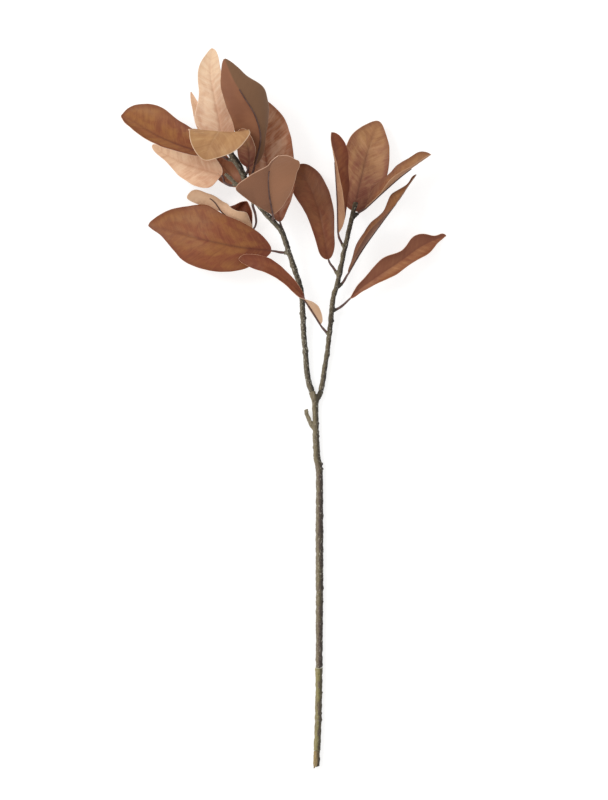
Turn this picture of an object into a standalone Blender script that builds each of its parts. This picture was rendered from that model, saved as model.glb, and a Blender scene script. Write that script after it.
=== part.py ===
"""Artificial magnolia branch, lying on a flat surface.

A long stem forks into a left and a right twig. Nineteen leaves grow from the twigs.
Each leaf is a die-cut fabric blade on a moulded stalk, and the stalk runs on as a thin
midrib wire under the blade. The drawing is in millimetres from the fork, with the tips
of the twigs towards +Y and the surface under the branch at Z = 0.
"""

import math

import bmesh
import bpy
import numpy as np
from mathutils import Vector

OBJECT_NAME = "magnolia_branch"
MM = 0.001

# The fork's place, so that the middle of the whole branch is over the origin.
FORK_PLACE = (37.2, 14.9, 0.0)

# Driving dimensions of the joints between the stems, in millimetres.
FIT_GAP = 0.3
NECK_LENGTH = 0.2
BORE_SPARE_DEPTH = 0.6
BORE_OVERRUN = 4.0
SOCKET_LIP = 1.5

# Driving dimensions of a leaf.
BLADE_THICKNESS = 0.9
BLADE_END_HALF_WIDTH = 1.1
BLADE_ROWS = 13
BLADE_COLUMNS = 6
WIRE_SHARE = 0.7
WIRE_GAP = 0.45
WIRE_RADIUS = 0.8
WIRE_TIP_RADIUS = 0.55
STALK_RADIUS = 1.7
NUB_RADIUS = 2.3
NUB_TAPER = np.array([1.0, 1.0, 0.95, 0.9])
NUB_SHOWING = 1.3
STRAIGHT_FOOT = 0.6
FLATTEST_CUP = 0.0001
RIPPLE_LAG = 0.35

# Colours, as linear red, green and blue.
BARK = (0.16, 0.13, 0.09)
TWIG_BARK = (0.12, 0.10, 0.07)
SLEEVE_GREEN = (0.24, 0.21, 0.10)
CORE_TAN = (0.26, 0.17, 0.05)
STALK_PURPLE = (0.09, 0.04, 0.04)
BROWN = (0.30, 0.11, 0.05)
DARK_BROWN = (0.19, 0.06, 0.03)
PALE = (0.72, 0.47, 0.31)
TAN = (0.49, 0.29, 0.13)
SUEDE = (0.40, 0.22, 0.14)

# Axis points of the stems: x, y, z and radius.
UPPER_STEM = [
    (6.4, -336.0, 5.0, 4.2), (6.7, -295.0, 5.0, 4.3), (6.9, -240.0, 5.0, 4.6), (6.9, -207.0, 5.0, 4.7),
    (6.9, -204.0, 5.0, 5.1),
    (6.9, -201.0, 5.0, 4.7), (6.8, -170.0, 5.0, 4.7), (6.9, -135.0, 5.0, 4.5), (6.9, -100.0, 5.0, 4.3),
    (6.2, -86.0, 5.0, 4.4), (3.6, -75.0, 5.0, 4.3), (3.2, -62.0, 5.0, 4.0), (2.6, -50.0, 5.0, 3.9),
    (2.4, -35.0, 5.0, 3.7), (1.7, -20.0, 5.0, 3.8), (1.6, -6.0, 5.0, 3.8), (1.6, 0.0, 5.0, 3.1),
]
FORK_ROOT = (1.6, -8.0, 5.0)
RIGHT_PLUG_WAY = (-0.39, -0.92, 0.0)
LOWER_STEM = [
    (6.3, -336.3, 5.0, 4.7), (6.2, -341.0, 5.0, 4.5), (6.1, -365.0, 5.0, 4.2), (5.3, -402.0, 5.0, 4.2),
    (3.9, -435.0, 5.0, 4.2), (3.7, -440.0, 5.0, 4.1),
]
STEM_END = [(3.7, -440.3, 5.0, 3.9), (3.3, -451.0, 5.0, 4.0), (3.0, -462.0, 5.0, 3.7)]
LEFT_TWIG = [
    (-2.6, 8.2, 5.0, 3.6), (-7.6, 25.0, 5.4, 3.5), (-10.8, 58.0, 7.5, 3.4), (-13.0, 85.0, 9.5, 3.4),
    (-15.0, 125.0, 14.0, 3.3), (-18.0, 142.0, 16.5, 3.3), (-23.0, 156.0, 19.0, 3.3),
    (-31.0, 180.0, 24.0, 3.3), (-39.5, 205.0, 29.5, 3.3), (-48.0, 216.0, 32.0, 3.3),
    (-62.0, 231.0, 36.0, 3.4), (-74.0, 246.0, 40.0, 3.6), (-82.0, 263.0, 43.5, 3.8),
    (-92.0, 285.0, 48.0, 4.0), (-101.0, 299.0, 51.0, 3.8), (-105.0, 308.0, 53.0, 3.2),
]
RIGHT_TWIG = [
    (8.9, 9.6, 5.0, 3.2), (12.0, 26.0, 5.2, 3.2), (14.2, 42.0, 5.8, 3.1), (17.0, 60.0, 6.8, 3.1),
    (20.5, 92.0, 9.5, 3.1), (24.0, 125.0, 13.5, 3.2), (28.0, 138.0, 15.0, 3.1), (31.0, 152.0, 17.0, 3.1),
    (35.0, 171.0, 19.0, 3.0), (38.0, 186.0, 21.0, 3.0), (45.0, 215.0, 24.0, 3.0), (51.5, 243.0, 27.0, 2.9),
]
LEFT_SPUR = [
    (-78.5, 253.5, 42.0, 2.6), (-96.0, 264.0, 45.0, 2.4), (-103.0, 271.0, 46.0, 2.3),
    (-110.0, 277.0, 46.0, 2.2),
]
SIDE_STUB = [
    (1.8, -41.0, 5.0, 2.8), (-4.0, -32.0, 5.6, 2.7), (-8.0, -23.0, 6.2, 2.5), (-10.0, -14.5, 6.6, 2.4),
]

# Small lumps left where old leaves came off: foot on the stem's axis, way out and radius.
UPPER_STEM_LUMPS = [
    ((6.9, -238.0), (1.0, 0.25, 0.2), 1.9), ((6.9, -255.0), (1.0, 0.2, 0.1), 1.5),
    ((6.6, -82.0), (1.0, 0.15, 0.3), 2.2), ((6.6, -89.0), (1.0, 0.0, 0.2), 1.6),
    ((2.8, -62.0), (-1.0, 0.2, 0.3), 1.8), ((2.2, -32.0), (1.0, 0.2, 0.2), 1.6),
    ((2.4, -48.0), (1.0, 0.1, 0.2), 1.4), ((6.7, -289.5), (-1.0, 0.3, 0.1), 1.3),
]
LOWER_STEM_LUMPS = [
    ((6.1, -368.0), (1.0, 0.2, 0.2), 1.4), ((5.4, -394.0), (1.0, 0.2, 0.2), 1.5),
    ((5.2, -402.0), (1.0, 0.1, 0.2), 1.6),
]
LEFT_TWIG_LUMPS = [
    ((-13.9, 105.0), (-1.0, 0.2, 0.2), 1.6), ((-13.6, 98.5), (1.0, 0.3, 0.2), 1.7),
    ((-33.0, 187.0), (1.0, 0.1, 0.1), 1.6),
]
RIGHT_TWIG_LUMPS = [((21.0, 96.0), (1.0, 0.0, 0.2), 1.6)]

# The leaves, numbered up each twig. A stalk starts at its twig's axis and ends at the blade's base.
# The faces say where the blade's top side looks, at even steps from base to tip. Left and right are
# half widths of the blade, seen from its top side with the tip up, at stations that lie closer together
# towards both ends. A cup is how far that side curls up, from base to tip (down if negative). The
# wave is the height, the number and the start of the ripples along the edges.
LEAVES = {
    "left_leaf_01": {
        "twig": "left_twig", "stalk": [(-32, 180, 24), (-42, 181, 24), (-53, 183, 25)],
        "blade": [(-92, 187, 30), (-135, 196, 28), (-173, 207, 13), (-207, 216, 0.6)],
        "faces": [(0, 0.1, 1), (0, 0.1, 1), (0.1, 0, 1)],
        "left": (8, 19, 31, 37, 34.5, 21.5, 8.5, 3.5), "right": (10, 22, 30.5, 36, 43, 34, 22, 9),
        "cups": ((0.25, 0.25), (0.25, 0.25)), "wave": (2.5, 1.5, 0.4), "colour": BROWN,
    },
    "left_leaf_02": {
        "twig": "left_twig", "stalk": [(-36, 194, 27), (-36.5, 203, 20), (-42, 219, 24)],
        "blade": [(-52, 262, 32), (-61, 303, 38), (-65, 344, 38), (-72, 374, 34)],
        "faces": [(0.3, 0, 1), (0.2, 0, 1), (0, 0, 1)],
        "left": (9, 22, 27, 24, 10), "right": (11, 28, 35, 31, 13),
        "cups": ((0.2, 0.2), (0.3, 0.3)), "wave": (2, 1.5, 0.9), "colour": DARK_BROWN,
    },
    "left_leaf_03": {
        "twig": "left_twig", "stalk": [(-50, 218, 33), (-51, 222, 42), (-51, 227, 52)],
        "blade": [(-55, 250, 78), (-56, 270, 98), (-52, 284, 115), (-43, 293, 130)],
        "faces": [(0, 0.85, -0.5), (0, 0.8, -0.6), (-0.15, 0.7, -0.65), (-0.4, 0.7, -0.6)],
        "left": (5.5, 15, 24, 31, 36, 40, 31, 17), "right": (6, 16, 29, 41, 23, 5, 2.5, 1.5),
        "cups": ((0.3, 0.3), (0.3, 0.3)), "wave": (2, 1.5, 0.0), "colour": SUEDE,
    },
    "left_leaf_04": {
        "twig": "left_twig",
        "stalk": [(-73, 246, 40), (-76, 239, 33), (-72.5, 228, 22), (-71.5, 217, 13), (-76.5, 210, 10)],
        "blade": [
            (-92, 216, 16), (-104, 224, 20), (-114, 232, 20), (-126, 246, 19), (-140, 251, 18),
            (-158, 249, 21),
        ],
        "faces": [
            (0.9, 0.5, 0.1), (0.6, 0.8, 0.12), (0.15, 0.97, 0.25), (-0.1, 0.85, -0.3),
            (0, 0.3, -1), (0, 0.1, -1), (0, 0, -1),
        ],
        "left": (7, 15, 27, 17, 8, 5.5, 9, 5), "right": (10, 30, 38, 23, 19, 17, 10, 4),
        "cups": ((2.4, 0.3), (2.6, 0.6)), "wave": (1, 2.0, 0.2), "colour": SUEDE,
    },
    "left_leaf_05": {
        "twig": "left_twig", "stalk": [(-78, 252, 41), (-84, 258, 36), (-89, 264, 31)],
        "blade": [(-102, 276, 24), (-115, 291, 18), (-127, 307, 14), (-138, 324, 12)],
        "faces": [(0, 0, 1), (0, 0, 1), (0, 0, 1)],
        "left": (8, 15, 17, 15, 8), "right": (6, 11, 12, 11, 6),
        "cups": ((0.3, 0.3), (0.3, 0.3)), "wave": (1, 1.5, 0.0), "colour": DARK_BROWN,
    },
    "left_leaf_06": {
        "twig": "left_twig", "stalk": [(-80, 260, 43), (-77, 273, 51), (-73, 287, 58)],
        "blade": [(-66, 318, 66), (-72, 345, 74), (-87, 370, 80), (-99, 390, 80), (-110, 416, 74)],
        "faces": [(0, 0, -1), (0, 0, -1), (0, 0, -1)],
        "left": (5, 8, 8, 20.5, 30, 20, 12.5, 5), "right": (12, 29, 28, 20, 8),
        "cups": ((1.3, 0.4), (0.3, 0.2)), "wave": (2, 2.0, 0.5), "colour": SUEDE,
    },
    "left_leaf_07": {
        "twig": "left_twig", "stalk": [(-87, 274, 46), (-83, 278, 52), (-81, 284, 58)],
        "blade": [(-80, 294, 64), (-81, 306, 71), (-85, 318, 75), (-90, 330, 76)],
        "faces": [(-0.2, -0.3, 1), (-0.2, -0.3, 1), (-0.2, -0.3, 1)],
        "left": (8, 13, 14, 12, 7), "right": (5, 7, 10, 9, 6),
        "cups": ((0.3, 0.3), (0.3, 0.3)), "wave": (1, 1.5, 0.0), "colour": DARK_BROWN,
    },
    "left_leaf_08": {
        "twig": "left_spur", "stalk": [(-97, 265, 45), (-103, 263, 39), (-111, 267, 35), (-115, 276, 35)],
        "blade": [(-135, 283, 27), (-160, 292, 15), (-186, 305, 5), (-202, 316, 0.6)],
        "faces": [(0, 0, 1), (0, 0, 1), (0, 0, 1)],
        "left": (18, 23, 18, 8, 5), "right": (13, 22, 20, 12, 5),
        "cups": ((0.2, 0.2), (0.2, 0.2)), "wave": (1.5, 1.5, 0.0), "colour": PALE,
    },
    "left_leaf_09": {
        "twig": "left_twig", "stalk": [(-97, 292, 49), (-107, 294.5, 53), (-116, 299, 56)],
        "blade": [(-150, 306, 62), (-190, 322, 52), (-222, 342, 34), (-239, 352.5, 20)],
        "faces": [(0, 0.6, 0.8), (0, 0.7, 0.7), (-0.3, 0.6, 0.7)],
        "left": (8, 20, 21.5, 17.5, 8), "right": (8, 25, 31, 33, 19),
        "cups": ((0.8, 0.8), (0.8, 0.8)), "wave": (2, 1.5, 0.0), "colour": BROWN,
    },
    "left_leaf_10": {
        "twig": "left_twig", "stalk": [(-101, 300, 51), (-110, 306, 55), (-113, 316, 58)],
        "blade": [(-117, 342, 61), (-123, 372, 62), (-128, 404, 56), (-126, 432, 46)],
        "faces": [(0, 0, 1), (0, 0, 1), (0, 0, 1)],
        "left": (14, 30, 19, 15, 6), "right": (15, 21, 17, 13, 8),
        "cups": ((0.2, 0.2), (0.2, 0.2)), "wave": (1.5, 1.5, 0.0), "colour": PALE,
    },
    "left_leaf_11": {
        "twig": "left_twig", "stalk": [(-101, 299, 50), (-107, 304, 45), (-113, 311, 40)],
        "blade": [(-127, 328, 33), (-138, 345, 29), (-146, 362, 27), (-153, 380, 24)],
        "faces": [(0, 0, 1), (0, 0, 1), (0, 0, 1)],
        "left": (7, 12, 11, 6, 3), "right": (7, 12, 10, 5, 2),
        "cups": ((0.3, 0.3), (0.3, 0.3)), "wave": (1, 1.5, 0.0), "colour": PALE,
    },
    "left_leaf_12": {
        "twig": "left_twig", "stalk": [(-104, 307, 52), (-105, 309, 60), (-105, 313, 69)],
        "blade": [(-110, 321, 88), (-116, 324.5, 102), (-121, 316, 113), (-128, 303, 117), (-134, 289, 116)],
        "faces": [(-0.1, 1, 0), (-0.15, 0.9, 0.3), (-0.1, 0.5, 0.9), (0, 0.1, 1)],
        "left": (9, 29, 42, 28, 11), "right": (9, 25, 37, 30, 14),
        "cups": ((0.1, 0.1), (0.1, 0.1)), "wave": (1, 1.0, 0.0), "colour": TAN,
    },
    "right_leaf_01": {
        "twig": "right_twig", "stalk": [(17.5, 78, 8.5), (12, 86, 15), (8, 92, 22)],
        "blade": [(-4, 111, 31), (-16, 129, 36), (-36, 149, 40), (-61, 164, 42), (-93, 172, 38)],
        "faces": [
            (0.5, 0.3, -0.8), (0.5, 0.35, -0.75), (0.3, 0.5, 0.5),
            (0, 0.3, 1), (0, 0.2, 1), (0, 0, 1), (0, 0, 1),
        ],
        "left": (6, 10.5, 9, 7.5, 8.5, 8, 4), "right": (2, 3, 3, 6, 10, 10, 7),
        "cups": ((0.5, 0.3), (0.5, 0.3)), "wave": (1.5, 2.0, 0.0), "colour": BROWN,
    },
    "right_leaf_02": {
        "twig": "right_twig", "stalk": [(22, 107, 11.5), (34, 114, 13), (45, 124, 16)],
        "blade": [
            (58, 136, 19), (82, 153, 23), (106, 169, 23), (131, 187, 15), (148, 196, 8), (165, 203, 0.6),
        ],
        "faces": [(0, 0, 1), (0, 0, 1), (0, 0, 1)],
        "left": (2, 6, 11, 17, 11, 17.5, 6, 4.5), "right": (2.5, 5, 7.5, 12, 11.5, 14, 6.5, 2),
        "cups": ((0.8, 0.8), (0.8, 0.8)), "wave": (3, 2.5, 0.0), "colour": BROWN,
    },
    "right_leaf_03": {
        "twig": "right_twig", "stalk": [(27, 136, 15), (36, 144, 19), (42, 156, 22)],
        "blade": [(60, 186, 32), (84, 219, 40), (105, 247, 38), (127, 277, 28)],
        "faces": [(-0.75, 0.5, 0), (-0.7, 0.45, 0.3), (-0.7, 0.45, 0.5)],
        "left": (3, 8, 15, 17, 6, 14, 4, 3), "right": (3, 8, 15, 17, 6, 12, 3, 2),
        "cups": ((1.1, 1.0), (1.1, 1.0)), "wave": (2, 2.0, 0.0), "colour": DARK_BROWN,
    },
    "right_leaf_04": {
        "twig": "right_twig", "stalk": [(31, 152, 17), (24, 162, 20), (18, 172, 22)],
        "blade": [(12, 202, 24), (5, 236, 20), (-8, 268, 14), (-22, 290, 9)],
        "faces": [(0, 0, 1), (0, 0, 1), (0, 0, 1)],
        "left": (9, 12, 17, 22, 15), "right": (9, 14, 19, 20, 13),
        "cups": ((0.3, 0.3), (0.3, 0.3)), "wave": (1, 1.5, 0.0), "colour": DARK_BROWN,
    },
    "right_leaf_05": {
        "twig": "right_twig", "stalk": [(38, 186, 21), (33, 195, 27), (31, 205, 33)],
        "blade": [(30, 240, 47), (28, 271, 54), (26, 296, 55), (24, 313, 53), (22, 328, 50)],
        "faces": [(1, 0, 0), (1, 0, 0.05), (0.85, 0, 0.35), (0.6, 0, 0.8)],
        "left": (3.5, 11, 17, 19, 10, 12, 8, 4), "right": (5, 15, 22, 24, 22.5, 22, 16, 8),
        "cups": ((1.1, 0.9), (1.2, 0.8)), "wave": (1, 2.0, 0.0), "colour": BROWN,
    },
    "right_leaf_06": {
        "twig": "right_twig", "stalk": [(47, 222, 25), (55, 230, 26), (63, 236, 28)],
        "blade": [(84, 255, 36), (106, 274, 42), (126, 289, 39), (145, 302, 30)],
        "faces": [(-0.6, 0.7, 0.5), (-0.65, 0.74, 0.2), (-0.5, 0.7, 0.5)],
        "left": (5, 16, 20, 17, 14.5), "right": (3, 7, 12, 11, 6),
        "cups": ((1.0, 1.0), (1.0, 1.0)), "wave": (1.5, 2.0, 0.0), "colour": TAN,
    },
    "right_leaf_07": {
        "twig": "right_twig", "stalk": [(46.5, 220, 25), (48, 225, 18.5), (50, 232, 14.5)],
        "blade": [(54, 253, 15), (60, 279, 16), (66, 304, 17), (73.5, 327, 16), (80.5, 345, 13)],
        "faces": [(0, 0, 1), (0, 0, 1), (0, 0, 1)],
        "left": (14, 24, 28, 26, 11), "right": (15, 27, 31, 25, 11),
        "cups": ((0.3, 0.3), (0.3, 0.3)), "wave": (1, 1.5, 0.0), "colour": BROWN,
    },
}


def clear_scene():
    for thing in list(bpy.data.objects):
        bpy.data.objects.remove(thing, do_unlink=True)


def new_collection(name):
    collection = bpy.data.collections.new(name)
    bpy.context.scene.collection.children.link(collection)
    return collection


def finish(piece, colour, roughness):
    """Give the piece its own plain material."""
    material = bpy.data.materials.new(piece.name)
    material.use_nodes = True
    shader = material.node_tree.nodes["Principled BSDF"]
    shader.inputs["Base Color"].default_value = (*colour, 1.0)
    shader.inputs["Roughness"].default_value = roughness
    shader.inputs["Metallic"].default_value = 0.0
    piece.data.materials.append(material)


def catmull_rom(before, start, end, after, t):
    """The smooth curve from start (t = 0) to end (t = 1), shaped by its two neighbours."""
    return 0.5 * (
        2 * start
        + (end - before) * t
        + (2 * before - 5 * start + 4 * end - after) * t**2
        + (3 * start - before - 3 * end + after) * t**3
    )


def smooth_path(points, spacing):
    """Evenly spaced rows of a smooth curve through the points. A radius is carried along."""
    corners = [np.array(point, dtype=float) for point in points]
    corners = [2 * corners[0] - corners[1]] + corners + [2 * corners[-1] - corners[-2]]
    fine = []
    for four in zip(corners, corners[1:], corners[2:], corners[3:]):
        fine += [catmull_rom(*four, t) for t in np.linspace(0.0, 1.0, 24, endpoint=False)]
    fine = np.array(fine + [corners[-2]])
    total = lengths_along(fine)[-1]
    return at_length(fine, np.linspace(0.0, total, max(2, round(total / spacing) + 1)))


def lengths_along(path):
    """Distance from the path's start to each of its rows."""
    steps = np.linalg.norm(np.diff(path[:, :3], axis=0), axis=1)
    return np.concatenate([[0.0], np.cumsum(steps)])


def at_length(path, where):
    """The path's rows at the given distances from its start."""
    length = lengths_along(path)
    return np.column_stack([np.interp(where, length, column) for column in path.T])


def nearest_row(path, point):
    """The path's row nearest to the point, seen from above."""
    offsets = path[:, :2] - np.array(point[:2], dtype=float)
    return path[np.argmin(np.linalg.norm(offsets, axis=1))]


def unit(vector):
    vector = np.array(vector, dtype=float)
    return vector / np.linalg.norm(vector)


def tube(name, rows, resolution):
    """A closed round tube through rows of x, y, z and radius, with 4 + 2 * resolution sides."""
    curve = bpy.data.curves.new(name, "CURVE")
    curve.dimensions = "3D"
    curve.bevel_depth = MM
    curve.bevel_resolution = resolution
    curve.use_fill_caps = True
    spline = curve.splines.new("POLY")
    spline.points.add(len(rows) - 1)
    for point, (x, y, z, radius) in zip(spline.points, rows):
        point.co = (x * MM, y * MM, z * MM, 1.0)
        point.radius = radius
    drawn = bpy.data.objects.new(name + "_curve", curve)
    bpy.context.scene.collection.objects.link(drawn)
    evaluated = drawn.evaluated_get(bpy.context.evaluated_depsgraph_get())
    mesh = bpy.data.meshes.new_from_object(evaluated)
    mesh.name = name
    bm = bmesh.new()
    bm.from_mesh(mesh)
    bmesh.ops.remove_doubles(bm, verts=bm.verts, dist=0.00001)
    bmesh.ops.recalc_face_normals(bm, faces=bm.faces)
    bm.to_mesh(mesh)
    bm.free()
    piece = bpy.data.objects.new(name, mesh)
    piece.matrix_world = drawn.matrix_world
    bpy.data.objects.remove(drawn, do_unlink=True)
    return piece


class Branch:
    """The collections and the parent that every piece of the branch goes into."""

    def __init__(self):
        self.parts = new_collection(OBJECT_NAME)
        self.cutters = new_collection("cutters")
        self.frame = bpy.data.objects.new("branch_frame", None)
        self.frame.location = Vector(FORK_PLACE) * MM
        self.parts.objects.link(self.frame)

    def add(self, piece, colour, roughness):
        finish(piece, colour, roughness)
        piece.data.shade_smooth()
        piece.data.set_sharp_from_angle(angle=math.radians(40))
        self.parts.objects.link(piece)
        piece.parent = self.frame

    def change(self, piece, operation, tool):
        """Join a tool to the piece, or cut the piece with it."""
        self.cutters.objects.link(tool)
        tool.parent = self.frame
        tool.hide_render = True
        tool.display_type = "WIRE"
        modifier = piece.modifiers.new(tool.name, "BOOLEAN")
        modifier.operation = operation
        modifier.object = tool
        modifier.solver = "EXACT"


def plug(rows, depth, radius, way=None):
    """The plug behind a stem's first row: its inner end, then the neck where the stem steps out."""
    back = unit(rows[0][:3] - rows[1][:3] if way is None else way)
    inner_end = (*(rows[0][:3] + back * depth), radius)
    neck = (*(rows[0][:3] + back * NECK_LENGTH), radius)
    return np.array([inner_end, neck])


def bore(name, plug_ends):
    """The cutter that leaves a fit gap all round a plug and runs out past its neck."""
    inner_end, neck = plug_ends
    way = unit(neck[:3] - inner_end[:3])
    radius = inner_end[3] + FIT_GAP
    bottom = inner_end[:3] - way * BORE_SPARE_DEPTH
    mouth = neck[:3] + way * BORE_OVERRUN
    return tube(name, [(*bottom, radius), (*mouth, radius)], 3)


def socket(name, plug_ends, outer_radius):
    """The round collar around a plug, rooted in the fork below it."""
    inner_end, neck = plug_ends
    way = unit(neck[:3] - inner_end[:3])
    mouth = neck[:3] - way * FIT_GAP
    rows = [
        (*FORK_ROOT, outer_radius * 0.8),
        (*inner_end[:3], outer_radius * 0.95),
        (*(mouth - way * SOCKET_LIP), outer_radius),
        (*mouth, outer_radius * 0.97),
    ]
    return tube(name, rows, 4)


def add_lumps(branch, stem, rows, lumps):
    """Join the short blunt lumps that stand out of a stem."""
    for number, (foot, way, radius) in enumerate(lumps, start=1):
        axis_point = nearest_row(rows, foot)
        way = unit(way)
        reach = axis_point[3] + radius * 0.55
        lump_rows = [
            (*axis_point[:3], radius * 1.25),
            (*(axis_point[:3] + way * (reach - radius * 0.5)), radius * 1.05),
            (*(axis_point[:3] + way * reach), radius * 0.6),
        ]
        branch.change(stem, "UNION", tube(f"{stem.name}_lump_{number}", lump_rows, 2))


def stem_with_plug(name, rows, plug_ends):
    return tube(name, np.vstack([plug_ends, rows]), 4)


def leaf_path(leaf, twig):
    """Fine rows from the twig's axis to the blade's tip, and the length where the blade starts."""
    foot = nearest_row(twig, leaf["stalk"][0])
    path = smooth_path([tuple(foot[:3])] + leaf["stalk"][1:] + leaf["blade"], 1.0)
    base = np.array(leaf["stalk"][-1], dtype=float)
    at_base = np.argmin(np.linalg.norm(path - base, axis=1))
    return path, lengths_along(path)[at_base]


def leaf_frame(path, where, blade_start, faces):
    """Centre, left side, top direction and share of the blade at the given lengths along its path."""
    total = lengths_along(path)[-1]
    centre = at_length(path, where)
    ahead = at_length(path, np.minimum(where + 1.5, total)) - at_length(path, np.maximum(where - 1.5, 0.0))
    along = ahead / np.linalg.norm(ahead, axis=1)[:, None]
    share = np.clip((where - blade_start) / (total - blade_start), 0.0, 1.0)
    stations = np.linspace(0.0, 1.0, len(faces))
    look = np.column_stack([np.interp(share, stations, column) for column in np.array(faces, dtype=float).T])
    top = look - along * np.sum(look * along, axis=1)[:, None]
    top = top / np.linalg.norm(top, axis=1)[:, None]
    return centre, np.cross(top, along), top, share


def half_width(widths, share):
    """Half width at each share of the blade's length, smooth through its stations and zero at both ends."""
    stations = np.array([-widths[0], 0.0, *widths, 0.0, -widths[-1]])
    place = np.arccos(1 - 2 * share) / math.pi * (len(widths) + 1)
    low = np.minimum(place.astype(int), len(widths))
    before, start, end, after = (stations[low + step] for step in range(4))
    return np.maximum(catmull_rom(before, start, end, after, place - low), BLADE_END_HALF_WIDTH)


def blade_lengths(path, blade_start):
    """Distances along the path of the blade's rows, closer together towards its ends."""
    even = np.linspace(0.0, 1.0, BLADE_ROWS + 1)
    share = (even + (1 - np.cos(math.pi * even)) / 2) / 2
    return blade_start + share * (lengths_along(path)[-1] - blade_start)


def make_blade(name, leaf, path, blade_start):
    """The die-cut blade: a warped grid, cupped and rippled across, made solid."""
    centre, side, top, share = leaf_frame(path, blade_lengths(path, blade_start), blade_start, leaf["faces"])
    widths = (half_width(leaf["left"], share), half_width(leaf["right"], share))
    height, ripples, start = leaf["wave"]
    bm = bmesh.new()
    bmesh.ops.create_grid(bm, x_segments=BLADE_ROWS, y_segments=BLADE_COLUMNS, size=1.0)
    for vertex in bm.verts:
        row = round((vertex.co.x + 1) / 2 * BLADE_ROWS)
        across = vertex.co.y
        half = 0 if across > 0 else 1
        cup_base, cup_tip = leaf["cups"][half]
        cup = cup_base + (cup_tip - cup_base) * share[row] + FLATTEST_CUP
        bend_radius = widths[half][row] / cup
        turn = 2 * math.pi * (ripples * share[row] + start + half * RIPPLE_LAG)
        ripple = height * across**2 * math.sin(math.pi * share[row]) * math.sin(turn)
        lift = bend_radius * (1 - math.cos(across * cup)) + ripple
        out = bend_radius * math.sin(across * cup)
        vertex.co = Vector(centre[row] + side[row] * out + top[row] * lift) * MM
    mesh = bpy.data.meshes.new(name)
    bm.to_mesh(mesh)
    bm.free()
    blade = bpy.data.objects.new(name, mesh)
    thickness = blade.modifiers.new("thickness", "SOLIDIFY")
    thickness.thickness = BLADE_THICKNESS * MM
    thickness.offset = 0.0
    return blade


def make_stalk(name, leaf, path, blade_start, foot_at):
    """The moulded stalk, which thins to the midrib wire under the blade."""
    rows = blade_lengths(path, blade_start)
    wire_end = blade_start + WIRE_SHARE * (rows[-1] - blade_start)
    foot_rows = np.linspace(foot_at + STRAIGHT_FOOT, blade_start, 5, endpoint=False)
    where = np.concatenate([[foot_at], foot_rows, rows[rows <= wire_end]])
    centre, _, top, share = leaf_frame(path, where, blade_start, leaf["faces"])
    gone = np.clip((where - foot_at) / (blade_start - foot_at), 0.0, 1.0) ** 1.5
    stalk_radius = STALK_RADIUS + (WIRE_RADIUS - STALK_RADIUS) * gone
    wire_radius = WIRE_RADIUS + (WIRE_TIP_RADIUS - WIRE_RADIUS) * share / WIRE_SHARE
    below = (BLADE_THICKNESS / 2 + WIRE_GAP + WIRE_RADIUS) * gone
    middle = centre - top * below[:, None]
    return tube(name, np.column_stack([middle, np.where(gone < 1.0, stalk_radius, wire_radius)]), 2)


def nub_end(path, twig):
    """How far along a leaf's path its twig's nub ends, clear of the twig all round the stalk's foot."""
    ways = np.diff(path, axis=0)
    for at, way in enumerate(ways):
        distances = np.linalg.norm(twig[:, :3] - path[at], axis=1)
        nearest = np.argmin(distances)
        outward = (path[at] - twig[nearest, :3]) / max(distances[nearest], 1e-6)
        tilt = math.sqrt(max(0.0, 1 - float(np.dot(unit(way), outward)) ** 2))
        if distances[nearest] > twig[nearest, 3] + STALK_RADIUS * tilt + NUB_SHOWING:
            return lengths_along(path)[at]
    raise ValueError("a leaf's stalk never leaves its twig")


def make_nub(name, path, end_at):
    """The short stub of the twig that a stalk butts against."""
    rows = at_length(path, [0.0, end_at / 2, end_at - STRAIGHT_FOOT, end_at])
    return tube(name, np.column_stack([rows, NUB_RADIUS * NUB_TAPER]), 2)


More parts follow.
